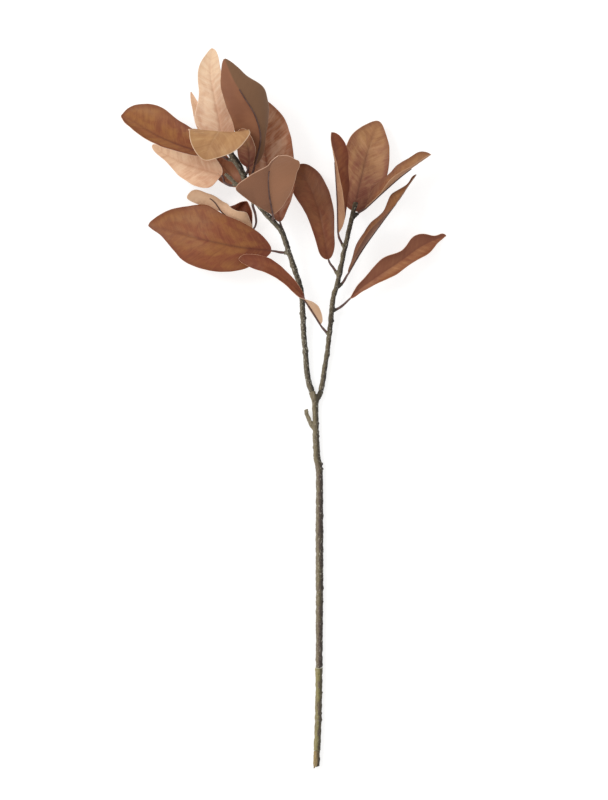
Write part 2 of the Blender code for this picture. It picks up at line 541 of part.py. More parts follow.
def add_stems(branch):
    """The two stem lengths, the cut end and the two twigs, with their plugs and sockets."""
    upper_rows = smooth_path(UPPER_STEM, 8.0)
    lower_rows = smooth_path(LOWER_STEM, 9.0)
    end_rows = smooth_path(STEM_END, 8.0)
    left_rows = smooth_path(LEFT_TWIG, 8.0)
    right_rows = smooth_path(RIGHT_TWIG, 8.0)
    upper_plug = plug(upper_rows, 12.0, 3.3)
    end_plug = plug(end_rows, 9.0, 2.7)
    left_plug = plug(left_rows, 5.5, 2.7)
    right_plug = plug(right_rows, 5.5, 2.3, RIGHT_PLUG_WAY)

    upper_stem = stem_with_plug("upper_stem", upper_rows, upper_plug)
    branch.change(upper_stem, "UNION", socket("left_socket", left_plug, 4.1))
    branch.change(upper_stem, "UNION", socket("right_socket", right_plug, 3.5))
    branch.change(upper_stem, "UNION", tube("side_stub", smooth_path(SIDE_STUB, 6.0), 2))
    add_lumps(branch, upper_stem, upper_rows, UPPER_STEM_LUMPS)
    branch.change(upper_stem, "DIFFERENCE", bore("left_bore", left_plug))
    branch.change(upper_stem, "DIFFERENCE", bore("right_bore", right_plug))
    branch.add(upper_stem, BARK, 0.7)

    lower_stem = tube("lower_stem", lower_rows, 4)
    add_lumps(branch, lower_stem, lower_rows, LOWER_STEM_LUMPS)
    branch.change(lower_stem, "DIFFERENCE", bore("upper_plug_bore", upper_plug))
    branch.change(lower_stem, "DIFFERENCE", bore("end_plug_bore", end_plug))
    branch.add(lower_stem, SLEEVE_GREEN, 0.6)
    branch.add(stem_with_plug("stem_end", end_rows, end_plug), CORE_TAN, 0.8)

    left_twig = stem_with_plug("left_twig", left_rows, left_plug)
    branch.change(left_twig, "UNION", tube("left_spur", smooth_path(LEFT_SPUR, 8.0), 2))
    add_lumps(branch, left_twig, left_rows, LEFT_TWIG_LUMPS)
    branch.add(left_twig, TWIG_BARK, 0.7)
    right_twig = stem_with_plug("right_twig", right_rows, right_plug)
    add_lumps(branch, right_twig, right_rows, RIGHT_TWIG_LUMPS)
    branch.add(right_twig, TWIG_BARK, 0.7)
    return {"left_twig": left_twig, "left_spur": left_twig, "right_twig": right_twig}


def add_leaves(branch, twigs):
    """Every leaf: its nub on the twig, its blade and its stalk."""
    axes = {
        "left_twig": smooth_path(LEFT_TWIG, 1.0),
        "left_spur": smooth_path(LEFT_SPUR, 1.0),
        "right_twig": smooth_path(RIGHT_TWIG, 1.0),
    }
    for name, leaf in LEAVES.items():
        axis = axes[leaf["twig"]]
        path, blade_start = leaf_path(leaf, axis)
        end_at = nub_end(path, axis)
        branch.change(twigs[leaf["twig"]], "UNION", make_nub(name + "_nub", path, end_at))
        branch.add(make_blade(name + "_blade", leaf, path, blade_start), leaf["colour"], 0.7)
        branch.add(make_stalk(name + "_stalk", leaf, path, blade_start, end_at + FIT_GAP), STALK_PURPLE, 0.5)


clear_scene()
magnolia = Branch()
add_leaves(magnolia, add_stems(magnolia))
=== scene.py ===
"""Artificial magnolia branch, lying on a pale surface and seen from above.

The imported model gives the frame. Each section below makes one group of real pieces in full
detail, in place of their plain solids: the stem lengths, the twigs, the leaf blades and the
stalks. Paths are in millimetres from the fork, with the twigs' tips towards +Y.
"""

import math

import bmesh
import bpy
import numpy as np
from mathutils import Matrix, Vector, noise


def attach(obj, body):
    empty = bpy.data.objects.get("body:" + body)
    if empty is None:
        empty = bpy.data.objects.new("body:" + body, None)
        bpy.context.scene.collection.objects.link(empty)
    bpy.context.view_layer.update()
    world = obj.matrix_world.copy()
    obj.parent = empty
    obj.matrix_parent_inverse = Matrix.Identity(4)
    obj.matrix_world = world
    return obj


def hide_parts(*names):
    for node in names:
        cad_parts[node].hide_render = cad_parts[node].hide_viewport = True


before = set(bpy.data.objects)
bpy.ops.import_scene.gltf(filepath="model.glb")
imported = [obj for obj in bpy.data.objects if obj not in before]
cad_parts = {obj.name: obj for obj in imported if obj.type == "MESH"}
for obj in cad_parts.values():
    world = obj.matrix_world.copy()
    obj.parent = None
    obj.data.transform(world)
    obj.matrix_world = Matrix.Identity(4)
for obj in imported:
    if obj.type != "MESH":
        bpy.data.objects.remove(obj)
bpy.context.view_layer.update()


# ---- Upper stem -------------------------------------------------------------------------
# The upper length of the main stem is moulded plastic bark over a steel rod. It forks at its
# top into two short collars, which the twigs are pushed into, and has a cut side stub.

MM = 0.001
FORK_PLACE = Vector((37.2, 14.9, 0.0)) * MM
UPPER_STEM = [
    (6.4, -336, 5, 4.2), (6.7, -295, 5, 4.3), (6.9, -240, 5, 4.6), (6.9, -207, 5, 4.7),
    (6.9, -204, 5, 5.1), (6.9, -201, 5, 4.7), (6.8, -170, 5, 4.7), (6.9, -135, 5, 4.5),
    (6.9, -100, 5, 4.3), (6.2, -86, 5, 4.4), (3.6, -75, 5, 4.3), (3.2, -62, 5, 4), (2.6, -50, 5, 3.9),
    (2.4, -35, 5, 3.7), (1.7, -20, 5, 3.8), (1.6, -6, 5, 3.8), (1.6, 0, 5, 3.1),
]
SIDE_STUB = [(1.8, -41, 5, 2.8), (-4, -32, 5.6, 2.7), (-8, -23, 6.2, 2.5), (-10, -14.5, 6.6, 2.4)]
LEFT_COLLAR = [(1.6, -9, 5, 3.5), (0.6, -2, 5, 3.9), (-1, 2.9, 5, 4), (-2.5, 7.7, 5, 4)]
RIGHT_COLLAR = [(1.6, -8, 5, 3.1), (4, -1, 5, 3.3), (6.8, 4.5, 5, 3.45), (8.7, 9.1, 5, 3.45)]
UPPER_STEM_LUMPS = [
    ((6.9, -238), (1, 0.25, 0.2), 1.9), ((6.9, -255), (1, 0.2, 0.1), 1.5),
    ((6.6, -82), (1, 0.15, 0.3), 2.2), ((6.6, -89), (1, 0, 0.2), 1.6),
    ((2.8, -62), (-1, 0.2, 0.3), 1.8), ((2.2, -32), (1, 0.2, 0.2), 1.6),
    ((2.4, -48), (1, 0.1, 0.2), 1.4), ((6.7, -289.5), (-1, 0.3, 0.1), 1.3),
]
PATH_STEPS = 24
PATH_SPACING = 1.0
BARK_VOXEL = 0.6 * MM
SMOOTHING = 4
FINE_SMOOTHING = 2
BARK_SEED_STEP = 50.0
# The bark's relief: the height, width and length of its ridges, swellings, rings and grit.
BARK_RELIEF = [(0.34, 1.3, 7.0), (0.50, 5.0, 6.0), (0.16, 9.0, 1.1), (0.24, 0.8, 0.9)]
COMMON_TONE = ((0.0, 0.4),)
BARK_FLECK = "C4BFB0"
BARK_ROUGHNESS = 0.72
ROD_SIDES = 20
LUMP_SIDES = 12
# How far a lump stands out and rounds off, and its foot's, shoulder's and tip's widths.
LUMP_REACH = 0.55
LUMP_ROUND = 0.5
LUMP_SHARES = (1.25, 1.05, 0.6)
STALK_SIDES = 14


def catmull_rom(before, start, end, after, t):
    """The smooth curve from start (t = 0) to end (t = 1), shaped by its two neighbours."""
    return 0.5 * (
        2 * start
        + (end - before) * t
        + (2 * before - 5 * start + 4 * end - after) * t**2
        + (3 * start - before - 3 * end + after) * t**3
    )


def lengths_along(path):
    """Distance from the path's start to each of its rows."""
    steps = np.linalg.norm(np.diff(path[:, :3], axis=0), axis=1)
    return np.concatenate([[0.0], np.cumsum(steps)])


def at_length(path, where):
    """The path's rows at the given distances from its start."""
    length = lengths_along(path)
    return np.column_stack([np.interp(where, length, column) for column in path.T])


def smooth_path(points):
    """Evenly spaced rows of a smooth curve through the points. A radius is carried along."""
    corners = [np.array(point, dtype=float) for point in points]
    corners = [2 * corners[0] - corners[1]] + corners + [2 * corners[-1] - corners[-2]]
    fine = []
    for four in zip(corners, corners[1:], corners[2:], corners[3:]):
        fine += [catmull_rom(*four, t) for t in np.linspace(0.0, 1.0, PATH_STEPS, endpoint=False)]
    fine = np.array(fine + [corners[-2]])
    total = lengths_along(fine)[-1]
    return at_length(fine, np.linspace(0.0, total, max(2, round(total / PATH_SPACING) + 1)))


def unit(vector):
    vector = np.array(vector, dtype=float)
    return vector / np.linalg.norm(vector)


def directions(path):
    """Along, side and up directions at each row. Side and up turn no more than the path does."""
    ways = np.gradient(path[:, :3], axis=0)
    ways = ways / np.linalg.norm(ways, axis=1)[:, None]
    side = unit(np.cross(ways[0], (0.0, 0.31, 0.95)))
    sides = []
    for way in ways:
        side = unit(side - way * np.dot(side, way))
        sides.append(side)
    sides = np.array(sides)
    return ways, sides, np.cross(sides, ways)


def add_rod(bm, rows, sides=ROD_SIDES):
    """A closed round rod through rows of x, y, z and radius."""
    rows = np.array(rows, dtype=float)
    _, side, up = directions(rows)
    angles = np.linspace(0.0, 2 * math.pi, sides, endpoint=False)
    rings = []
    for row, across, above in zip(rows, side, up):
        turned = np.outer(np.cos(angles), across) + np.outer(np.sin(angles), above)
        ring = row[:3] + row[3] * turned
        rings.append([bm.verts.new(FORK_PLACE + Vector(point) * MM) for point in ring])
    for low, high in zip(rings, rings[1:]):
        for k in range(sides):
            after = (k + 1) % sides
            bm.faces.new((low[k], low[after], high[after], high[k]))
    bm.faces.new(rings[0])
    bm.faces.new(rings[-1])


def add_lumps(bm, axis, lumps):
    """Short blunt lumps that stand out of a stem: foot, way out and radius."""
    for foot, way, radius in lumps:
        row = axis[np.argmin(np.linalg.norm(axis[:, :2] - foot, axis=1))]
        way = unit(way)
        reach = row[3] + radius * LUMP_REACH
        shoulder = reach - radius * LUMP_ROUND
        shares = zip((0.0, shoulder, reach), LUMP_SHARES)
        add_rod(bm, [(*(row[:3] + way * out), radius * share) for out, share in shares], LUMP_SIDES)


def mesh_from(name, bm):
    mesh = bpy.data.meshes.new(name)
    bm.to_mesh(mesh)
    bm.free()
    return mesh


def placed(name, data):
    """A new object in the scene."""
    made = bpy.data.objects.new(name, data)
    bpy.context.scene.collection.objects.link(made)
    return made


def store(mesh, name, values):
    """Stores a number or a vector on each of the mesh's points."""
    values = np.array(values)
    kind, field = ("FLOAT", "value") if values.ndim == 1 else ("FLOAT_VECTOR", "vector")
    mesh.attributes.new(name, kind, "POINT").data.foreach_set(field, values.ravel())


def points_of(mesh, field="co"):
    """The mesh's points, or their normals, one row each."""
    rows = np.empty(len(mesh.vertices) * 3)
    mesh.vertices.foreach_get(field, rows)
    return rows.reshape(-1, 3)


def fused(name, bm, smoothing):
    """One skin over all the rods in the bmesh, softened where they meet."""
    bmesh.ops.recalc_face_normals(bm, faces=bm.faces)
    mesh = mesh_from(name, bm)
    raw = placed(name + "_raw", mesh)
    remesh = raw.modifiers.new("fuse", "REMESH")
    remesh.mode = "VOXEL"
    remesh.voxel_size = BARK_VOXEL
    soften = raw.modifiers.new("soften", "SMOOTH")
    soften.iterations = smoothing
    done = raw.evaluated_get(bpy.context.evaluated_depsgraph_get())
    skin = bpy.data.meshes.new_from_object(done)
    bpy.data.objects.remove(raw, do_unlink=True)
    bpy.data.meshes.remove(mesh)
    skin.name = name
    return skin


def straightened(points, axis):
    """Each point's offset from the axis, sideways and up, and its length along the axis."""
    _, side, up = directions(axis)
    length = lengths_along(axis)
    nearest = np.array([np.argmin(((axis[:, :3] - point) ** 2).sum(axis=1)) for point in points])
    offset = points - axis[nearest, :3]
    across = (offset * side[nearest]).sum(axis=1)
    above = (offset * up[nearest]).sum(axis=1)
    return np.column_stack([across, above, length[nearest]])


def roughen(skin, axis, depth, seed, tones=COMMON_TONE):
    """Moulds bark into the skin and stores its coat's tone, given as pairs of length and tone.

    A tone of 0 is olive, 1 is purple and -1 is a trimmed edge.
    """
    points = points_of(skin)
    place = straightened((points - np.array(FORK_PLACE)) / MM, axis)
    # A path that runs away from the tips has its sides the other way round. Turning them back keeps
    # the painted shade and painted light on the same sides of every length.
    place[:, 0] *= 1.0 if axis[-1][1] > axis[0][1] else -1.0
    lifts = np.zeros(len(points))
    for height, width, length in BARK_RELIEF:
        scaled = place / (width, width, length) + (0.0, 0.0, seed)
        lifts += height * np.array([noise.noise(Vector(spot)) for spot in scaled])
    moved = points + points_of(skin, "normal") * (lifts * depth * MM)[:, None]
    skin.vertices.foreach_set("co", moved.ravel())
    store(skin, "bark_place", place + (0.0, 0.0, seed * BARK_SEED_STEP))
    store(skin, "bark_tone", np.interp(place[:, 2], *np.array(tones, dtype=float).T))
    skin.shade_smooth()


def paint(code):
    """A hex colour as linear red, green, blue and alpha."""
    parts = [int(code[at:at + 2], 16) / 255 for at in (0, 2, 4)]
    linear = [part / 12.92 if part <= 0.04045 else ((part + 0.055) / 1.055) ** 2.4 for part in parts]
    return (*linear, 1.0)


def feed(tree, made, sockets):
    """Gives each socket of a node a value or another node's output."""
    for key, value in sockets.items():
        if isinstance(value, bpy.types.NodeSocket):
            tree.links.new(value, made.inputs[key])
        else:
            made.inputs[key].default_value = value


def node(tree, kind, sockets, **settings):
    """Adds a shader node with the given settings and sockets."""
    made = tree.nodes.new("ShaderNode" + kind)
    for key, value in settings.items():
        setattr(made, key, value)
    feed(tree, made, sockets)
    return made


def attribute(tree, name, output="Vector"):
    return node(tree, "Attribute", {}, attribute_name=name).outputs[output]


def math_node(tree, operation, first, second=0.0):
    """The output of a sum on one or two values."""
    return node(tree, "Math", {0: first, 1: second}, operation=operation).outputs[0]


def times(tree, first, second):
    return math_node(tree, "MULTIPLY", first, second)


def plus(tree, first, second):
    return math_node(tree, "ADD", first, second)


def mixed(tree, factor, first, second):
    """Mixes two colours."""
    return node(tree, "Mix", {0: factor, 6: first, 7: second}, data_type="RGBA").outputs[2]


def band(tree, value, low, high, to_low=0.0, to_high=1.0):
    """A soft step from to_low to to_high, as the value goes from low to high."""
    ends = {"From Min": low, "From Max": high, "To Min": to_low, "To Max": to_high}
    return node(tree, "MapRange", {"Value": value} | ends, interpolation_type="SMOOTHSTEP").outputs[0]


def stretched_noise(tree, place, stretch, detail=2.0, roughness=0.5, distortion=0.0):
    """Noise over a place in millimetres. Stretch is its grain's size each way, in millimetres."""
    scale = tuple(1.0 / size for size in stretch)
    sockets = {
        "Vector": node(tree, "VectorMath", {0: place, 1: scale}, operation="MULTIPLY").outputs[0],
        "Scale": 1.0, "Detail": detail, "Roughness": roughness, "Distortion": distortion,
    }
    return node(tree, "TexNoise", sockets).outputs["Fac"]


def new_group(name, colours, shares, outputs):
    """A shader node group that takes colours and shares, and gives a colour and other values."""
    group = bpy.data.node_groups.new(name, "ShaderNodeTree")
    add = group.interface.new_socket
    for label in colours:
        add(name=label, in_out="INPUT", socket_type="NodeSocketColor")
    for label, share in shares.items():
        add(name=label, in_out="INPUT", socket_type="NodeSocketFloat").default_value = share
    add(name="Color", in_out="OUTPUT", socket_type="NodeSocketColor")
    for label in outputs:
        add(name=label, in_out="OUTPUT", socket_type="NodeSocketFloat")
    entry = group.nodes.new("NodeGroupInput")
    return group, entry.outputs, group.nodes.new("NodeGroupOutput")


def bark_group():
    """Moulded bark: a mottled coat, worn ridges, pits and pale flecks, with painted shade down one
    side and painted light down the other.
    """
    colours = ("Coat", "Other coat", "Worn and lit", "Pit and shade", "Fleck")
    tree, given, end = new_group("bark coat", colours, {"Wear": 0.5, "Flecks": 0.5}, ["Height"])
    place = attribute(tree, "bark_place")
    tone = attribute(tree, "bark_tone", "Fac")
    side = node(tree, "SeparateXYZ", {0: place}).outputs["X"]
    patches = stretched_noise(tree, place, (5.0, 5.0, 13.0), 3.0, 0.6)
    grain = stretched_noise(tree, place, (1.0, 1.0, 5.0), 4.0, 0.65)
    rings = stretched_noise(tree, place, (8.0, 8.0, 0.9), 3.0, 0.6)
    specks = stretched_noise(tree, place, (0.55, 0.55, 0.8), 2.0, 0.6)
    flecks = stretched_noise(tree, place, (1.8, 1.8, 2.8), 2.0, 0.5)
    turned = plus(tree, tone, band(tree, patches, 0.36, 0.64, -0.5, 0.5))
    coat = mixed(tree, band(tree, turned, 0.2, 0.8), given["Coat"], given["Other coat"])
    worn = times(tree, band(tree, grain, 0.50, 0.70), given["Wear"])
    coat = mixed(tree, worn, coat, given["Worn and lit"])
    coat = mixed(tree, band(tree, rings, 0.60, 0.74, 0.0, 0.45), coat, given["Worn and lit"])
    # Painted shade down one side of the stem in the pit colour, and painted light down the other side
    # in the worn colour.
    coat = mixed(tree, band(tree, side, -0.4, 2.2, 0.0, 0.8), coat, given["Pit and shade"])
    coat = mixed(tree, band(tree, side, 0.0, -2.4, 0.0, 0.5), coat, given["Worn and lit"])
    pits = math_node(tree, "MAXIMUM", band(tree, grain, 0.45, 0.30), band(tree, specks, 0.38, 0.28))
    coat = mixed(tree, times(tree, pits, 0.85), coat, given["Pit and shade"])
    flecked = times(tree, band(tree, flecks, 0.60, 0.68), given["Flecks"])
    coat = mixed(tree, flecked, coat, given["Fleck"])
    coat = mixed(tree, band(tree, tone, -0.3, -0.8, 0.0, 0.45), coat, given["Fleck"])
    rough = plus(tree, grain, times(tree, specks, 0.5))
    height = plus(tree, rough, times(tree, rings, 0.4))
    feed(tree, end, {"Color": coat, "Height": height})
    return tree


def new_material(name):
    """A new material, with its tree and its shader."""
    material = bpy.data.materials.new(name)
    material.use_nodes = True
    return material, material.node_tree, material.node_tree.nodes["Principled BSDF"]


def dress(tree, shader, colour, height, strength, distance):
    """Gives the shader its colour, and relief of the given strength and depth in millimetres."""
    relief = {"Height": height, "Strength": strength, "Distance": distance * MM}
    feed(tree, shader, {"Base Color": colour, "Normal": node(tree, "Bump", relief).outputs[0]})


def bark_material(name, coat, other_coat, worn, pit_and_shade, wear, flecks):
    """Matt moulded bark in the given colours. Wear and flecks are shares. The pit colour is also the
    painted shade down one side, and the worn colour is also the painted light down the other.
    """
    material, tree, shader = new_material(name)
    values = {
        "Coat": paint(coat), "Other coat": paint(other_coat), "Worn and lit": paint(worn),
        "Pit and shade": paint(pit_and_shade), "Fleck": paint(BARK_FLECK), "Wear": wear, "Flecks": flecks,
    }
    bark = node(tree, "Group", values, node_tree=BARK_GROUP)
    dress(tree, shader, bark.outputs["Color"], bark.outputs["Height"], 0.8, 0.6)
    shader.inputs["Roughness"].default_value = BARK_ROUGHNESS
    return material


def rod_skin(name, axis, lumps=(), branches=(), smoothing=FINE_SMOOTHING):
    """The skin of one stem length with its lumps and side branches."""
    rods = bmesh.new()
    for rows in (axis, *branches):
        add_rod(rods, rows)
    add_lumps(rods, axis, lumps)
    return fused(name, rods, smoothing)


def settle(piece_name, mesh, materials, node_name):
    """Puts a finished mesh in the scene, in place of its plain solid."""
    piece = placed(piece_name, mesh)
    for material in materials:
        mesh.materials.append(material)
    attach(piece, "root")
    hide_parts(node_name)
    return piece


UPPER_DEPTH = 1.25
UPPER_TONES = [
    (0, 0.95), (55, 0.9), (85, 0.15), (125, 0.2), (135, 0.8), (245, 0.85), (262, 0.15), (336, 0.1),
]
BARK_GROUP = bark_group()
upper_axis = smooth_path(UPPER_STEM)
upper_branches = [smooth_path(path) for path in (LEFT_COLLAR, RIGHT_COLLAR, SIDE_STUB)]
upper_skin = rod_skin("upper_stem_bark", upper_axis, UPPER_STEM_LUMPS, upper_branches, SMOOTHING)
roughen(upper_skin, upper_axis, UPPER_DEPTH, 1.0, UPPER_TONES)
upper_bark = bark_material("stem bark", "675C42", "56463E", "988C72", "221B15", 0.5, 0.4)
settle("upper_stem_bark", upper_skin, [upper_bark], "upper_stem")


# ---- Lower stem -------------------------------------------------------------------------
# The lower length is a moulded sleeve in a greener coat, pushed over the upper stem's plug.
# Its top ends in a raised lip, pale where the moulding was trimmed.

LOWER_STEM = [
    (6.3, -336.3, 5, 4.7), (6.2, -341, 5, 4.5), (6.1, -365, 5, 4.2), (5.3, -402, 5, 4.2),
    (3.9, -435, 5, 4.2), (3.7, -440, 5, 4.1),
]
LOWER_STEM_LUMPS = [
    ((6.1, -368), (1, 0.2, 0.2), 1.4), ((5.4, -394), (1, 0.2, 0.2), 1.5),
    ((5.2, -402), (1, 0.1, 0.2), 1.6),
]
LOWER_DEPTH = 1.2
LOWER_TONES = [(0, -1), (0.9, -1), (1.9, 0.1), (25, 0.4), (70, 0.7), (102.6, 0.2), (103.4, -0.7)]

lower_axis = smooth_path(LOWER_STEM)
lower_skin = rod_skin("lower_stem_bark", lower_axis, LOWER_STEM_LUMPS)
roughen(lower_skin, lower_axis, LOWER_DEPTH, 2.0, LOWER_TONES)
lower_bark = bark_material("sleeve bark", "827A4C", "665848", "A89C6E", "312B1E", 0.5, 0.25)
settle("lower_stem_bark", lower_skin, [lower_bark], "lower_stem")


# ---- Cut end ----------------------------------------------------------------------------
# Below the sleeve the bare core shows, tan and rough, cut off at a slant.

STEM_END = [(3.7, -440.3, 5, 3.9), (3.3, -451, 5, 4), (3, -462, 5, 3.7)]
END_TONES = [(0, 0.1), (16, 0.3), (20, 1)]
CUT_START = -455.0
CUT_LENGTH = 6.0
CUT_SLANT = 0.45
CUT_MIDDLE = 0.5
NOTCH_PLACE = 2.2
NOTCH_WIDTH = 0.8
NOTCH_DEPTH = 1.2

end_axis = smooth_path(STEM_END)
end_skin = rod_skin("stem_end_core", end_axis)
for vertex in end_skin.vertices:
    x, y, _ = (vertex.co - FORK_PLACE) / MM
    near_cut = min(1.0, max(0.0, (CUT_START - y) / CUT_LENGTH))
    notch = NOTCH_DEPTH * math.exp(-((x - NOTCH_PLACE) / NOTCH_WIDTH) ** 2)
    vertex.co.y += near_cut * (CUT_SLANT * (x - CUT_MIDDLE) + notch) * MM
roughen(end_skin, end_axis, LOWER_DEPTH, 3.0, END_TONES)
core = bark_material("bare core", "857048", "4E4434", "B59C68", "332C22", 0.6, 0.1)
settle("stem_end_core", end_skin, [core], "stem_end")


# ---- Twigs ------------------------------------------------------------------------------
# Two moulded twigs are pushed into the collars. A short nub stands out of the twig at each
# leaf, and the left twig also has a cut spur.

LEFT_TWIG = [
    (-2.6, 8.2, 5, 3.6), (-7.6, 25, 5.4, 3.5), (-10.8, 58, 7.5, 3.4), (-13, 85, 9.5, 3.4),
    (-15, 125, 14, 3.3), (-18, 142, 16.5, 3.3), (-23, 156, 19, 3.3), (-31, 180, 24, 3.3),
    (-39.5, 205, 29.5, 3.3), (-48, 216, 32, 3.3), (-62, 231, 36, 3.4), (-74, 246, 40, 3.6),
    (-82, 263, 43.5, 3.8), (-92, 285, 48, 4), (-101, 299, 51, 3.8), (-105, 308, 53, 3.2),
]
RIGHT_TWIG = [
    (8.9, 9.6, 5, 3.2), (12, 26, 5.2, 3.2), (14.2, 42, 5.8, 3.1), (17, 60, 6.8, 3.1),
    (20.5, 92, 9.5, 3.1), (24, 125, 13.5, 3.2), (28, 138, 15, 3.1), (31, 152, 17, 3.1),
    (35, 171, 19, 3), (38, 186, 21, 3), (45, 215, 24, 3), (51.5, 243, 27, 2.9),
]
LEFT_SPUR = [
    (-78.5, 253.5, 42, 2.6), (-96, 264, 45, 2.4), (-103, 271, 46, 2.3), (-110, 277, 46, 2.2),
]
LEFT_TWIG_LUMPS = [
    ((-13.9, 105), (-1, 0.2, 0.2), 1.6), ((-13.6, 98.5), (1, 0.3, 0.2), 1.7),
    ((-33, 187), (1, 0.1, 0.1), 1.6),
]
RIGHT_TWIG_LUMPS = [((21, 96), (1, 0, 0.2), 1.6)]

# How each leaf grows: its twig, its stalk's points and its blade's middle line.
LEAF_RUNS = {
    "left_leaf_01": {
        "twig": "left_twig", "stalk": [(-32, 180, 24), (-42, 181, 24), (-53, 183, 25)],
        "blade": [(-92, 187, 30), (-135, 196, 28), (-173, 207, 13), (-207, 216, 0.6)],
    },
    "left_leaf_02": {
        "twig": "left_twig", "stalk": [(-36, 194, 27), (-36.5, 203, 20), (-42, 219, 24)],
        "blade": [(-52, 262, 32), (-61, 303, 38), (-65, 344, 38), (-72, 374, 34)],
    },
    "left_leaf_03": {
        "twig": "left_twig", "stalk": [(-50, 218, 33), (-51, 222, 42), (-51, 227, 52)],
        "blade": [(-55, 250, 78), (-56, 270, 98), (-52, 284, 115), (-43, 293, 130)],
    },
    "left_leaf_04": {
        "twig": "left_twig",
        "stalk": [
            (-73, 246, 40), (-76, 239, 33), (-72.5, 228, 22), (-71.5, 217, 13), (-76.5, 210, 10),
        ],
        "blade": [
            (-92, 216, 16), (-104, 224, 20), (-114, 232, 20),
            (-126, 246, 19), (-140, 251, 18), (-158, 249, 21),
        ],
    },
    "left_leaf_05": {
        "twig": "left_twig", "stalk": [(-78, 252, 41), (-84, 258, 36), (-89, 264, 31)],
        "blade": [(-102, 276, 24), (-115, 291, 18), (-127, 307, 14), (-138, 324, 12)],
    },
    "left_leaf_06": {
        "twig": "left_twig", "stalk": [(-80, 260, 43), (-77, 273, 51), (-73, 287, 58)],
        "blade": [(-66, 318, 66), (-72, 345, 74), (-87, 370, 80), (-99, 390, 80), (-110, 416, 74)],
    },
    "left_leaf_07": {
        "twig": "left_twig", "stalk": [(-87, 274, 46), (-83, 278, 52), (-81, 284, 58)],
        "blade": [(-80, 294, 64), (-81, 306, 71), (-85, 318, 75), (-90, 330, 76)],
    },
    "left_leaf_08": {
        "twig": "left_spur",
        "stalk": [(-97, 265, 45), (-103, 263, 39), (-111, 267, 35), (-115, 276, 35)],
        "blade": [(-135, 283, 27), (-160, 292, 15), (-186, 305, 5), (-202, 316, 0.6)],
    },
    "left_leaf_09": {
        "twig": "left_twig", "stalk": [(-97, 292, 49), (-107, 294.5, 53), (-116, 299, 56)],
        "blade": [(-150, 306, 62), (-190, 322, 52), (-222, 342, 34), (-239, 352.5, 20)],
    },
    "left_leaf_10": {
        "twig": "left_twig", "stalk": [(-101, 300, 51), (-110, 306, 55), (-113, 316, 58)],
        "blade": [(-117, 342, 61), (-123, 372, 62), (-128, 404, 56), (-126, 432, 46)],
    },
    "left_leaf_11": {
        "twig": "left_twig", "stalk": [(-101, 299, 50), (-107, 304, 45), (-113, 311, 40)],
        "blade": [(-127, 328, 33), (-138, 345, 29), (-146, 362, 27), (-153, 380, 24)],
    },
    "left_leaf_12": {
        "twig": "left_twig", "stalk": [(-104, 307, 52), (-105, 309, 60), (-105, 313, 69)],
        "blade": [
            (-110, 321, 88), (-116, 324.5, 102), (-121, 316, 113),
            (-128, 303, 117), (-134, 289, 116),
        ],
    },
    "right_leaf_01": {
        "twig": "right_twig", "stalk": [(17.5, 78, 8.5), (12, 86, 15), (8, 92, 22)],
        "blade": [(-4, 111, 31), (-16, 129, 36), (-36, 149, 40), (-61, 164, 42), (-93, 172, 38)],
    },
    "right_leaf_02": {
        "twig": "right_twig", "stalk": [(22, 107, 11.5), (34, 114, 13), (45, 124, 16)],
        "blade": [
            (58, 136, 19), (82, 153, 23), (106, 169, 23),
            (131, 187, 15), (148, 196, 8), (165, 203, 0.6),
        ],
    },
    "right_leaf_03": {
        "twig": "right_twig", "stalk": [(27, 136, 15), (36, 144, 19), (42, 156, 22)],
        "blade": [(60, 186, 32), (84, 219, 40), (105, 247, 38), (127, 277, 28)],
    },
    "right_leaf_04": {
        "twig": "right_twig", "stalk": [(31, 152, 17), (24, 162, 20), (18, 172, 22)],
        "blade": [(12, 202, 24), (5, 236, 20), (-8, 268, 14), (-22, 290, 9)],
    },
    "right_leaf_05": {
        "twig": "right_twig", "stalk": [(38, 186, 21), (33, 195, 27), (31, 205, 33)],
        "blade": [(30, 240, 47), (28, 271, 54), (26, 296, 55), (24, 313, 53), (22, 328, 50)],
    },
    "right_leaf_06": {
        "twig": "right_twig", "stalk": [(47, 222, 25), (55, 230, 26), (63, 236, 28)],
        "blade": [(84, 255, 36), (106, 274, 42), (126, 289, 39), (145, 302, 30)],
    },
    "right_leaf_07": {
        "twig": "right_twig", "stalk": [(46.5, 220, 25), (48, 225, 18.5), (50, 232, 14.5)],
        "blade": [(54, 253, 15), (60, 279, 16), (66, 304, 17), (73.5, 327, 16), (80.5, 345, 13)],
    },
}
STALK_RADIUS = 1.7
TWIG_DEPTH = 1.4
NUB_ROWS = 6
NUB_TAPER = 0.9
NUB_RADIUS = 2.3
NUB_SHOWING = 1.3
twig_axes = {
    "left_twig": smooth_path(LEFT_TWIG),
    "left_spur": smooth_path(LEFT_SPUR),
    "right_twig": smooth_path(RIGHT_TWIG),
}


def leaf_path(run):
    """Fine rows from the twig's axis to the blade's tip, and the length where the blade starts."""
    axis = twig_axes[run["twig"]]
    foot = axis[np.argmin(np.linalg.norm(axis[:, :2] - run["stalk"][0][:2], axis=1)), :3]
    path = smooth_path([tuple(foot)] + run["stalk"][1:] + run["blade"])
    base = np.argmin(np.linalg.norm(path - run["stalk"][-1], axis=1))
    return path, lengths_along(path)[base]


def nub_end(path, axis):
    """How far along a leaf's path its twig's nub ends, clear of the twig all round the stalk."""
    for at, way in enumerate(np.diff(path, axis=0)):
        distances = np.linalg.norm(axis[:, :3] - path[at], axis=1)
        nearest = np.argmin(distances)
        outward = (path[at] - axis[nearest, :3]) / max(distances[nearest], 1e-6)
        tilt = math.sqrt(max(0.0, 1 - float(np.dot(unit(way), outward)) ** 2))
        if distances[nearest] > axis[nearest, 3] + STALK_RADIUS * tilt + NUB_SHOWING:
            return lengths_along(path)[at]
    raise ValueError("a leaf's stalk never leaves its twig")


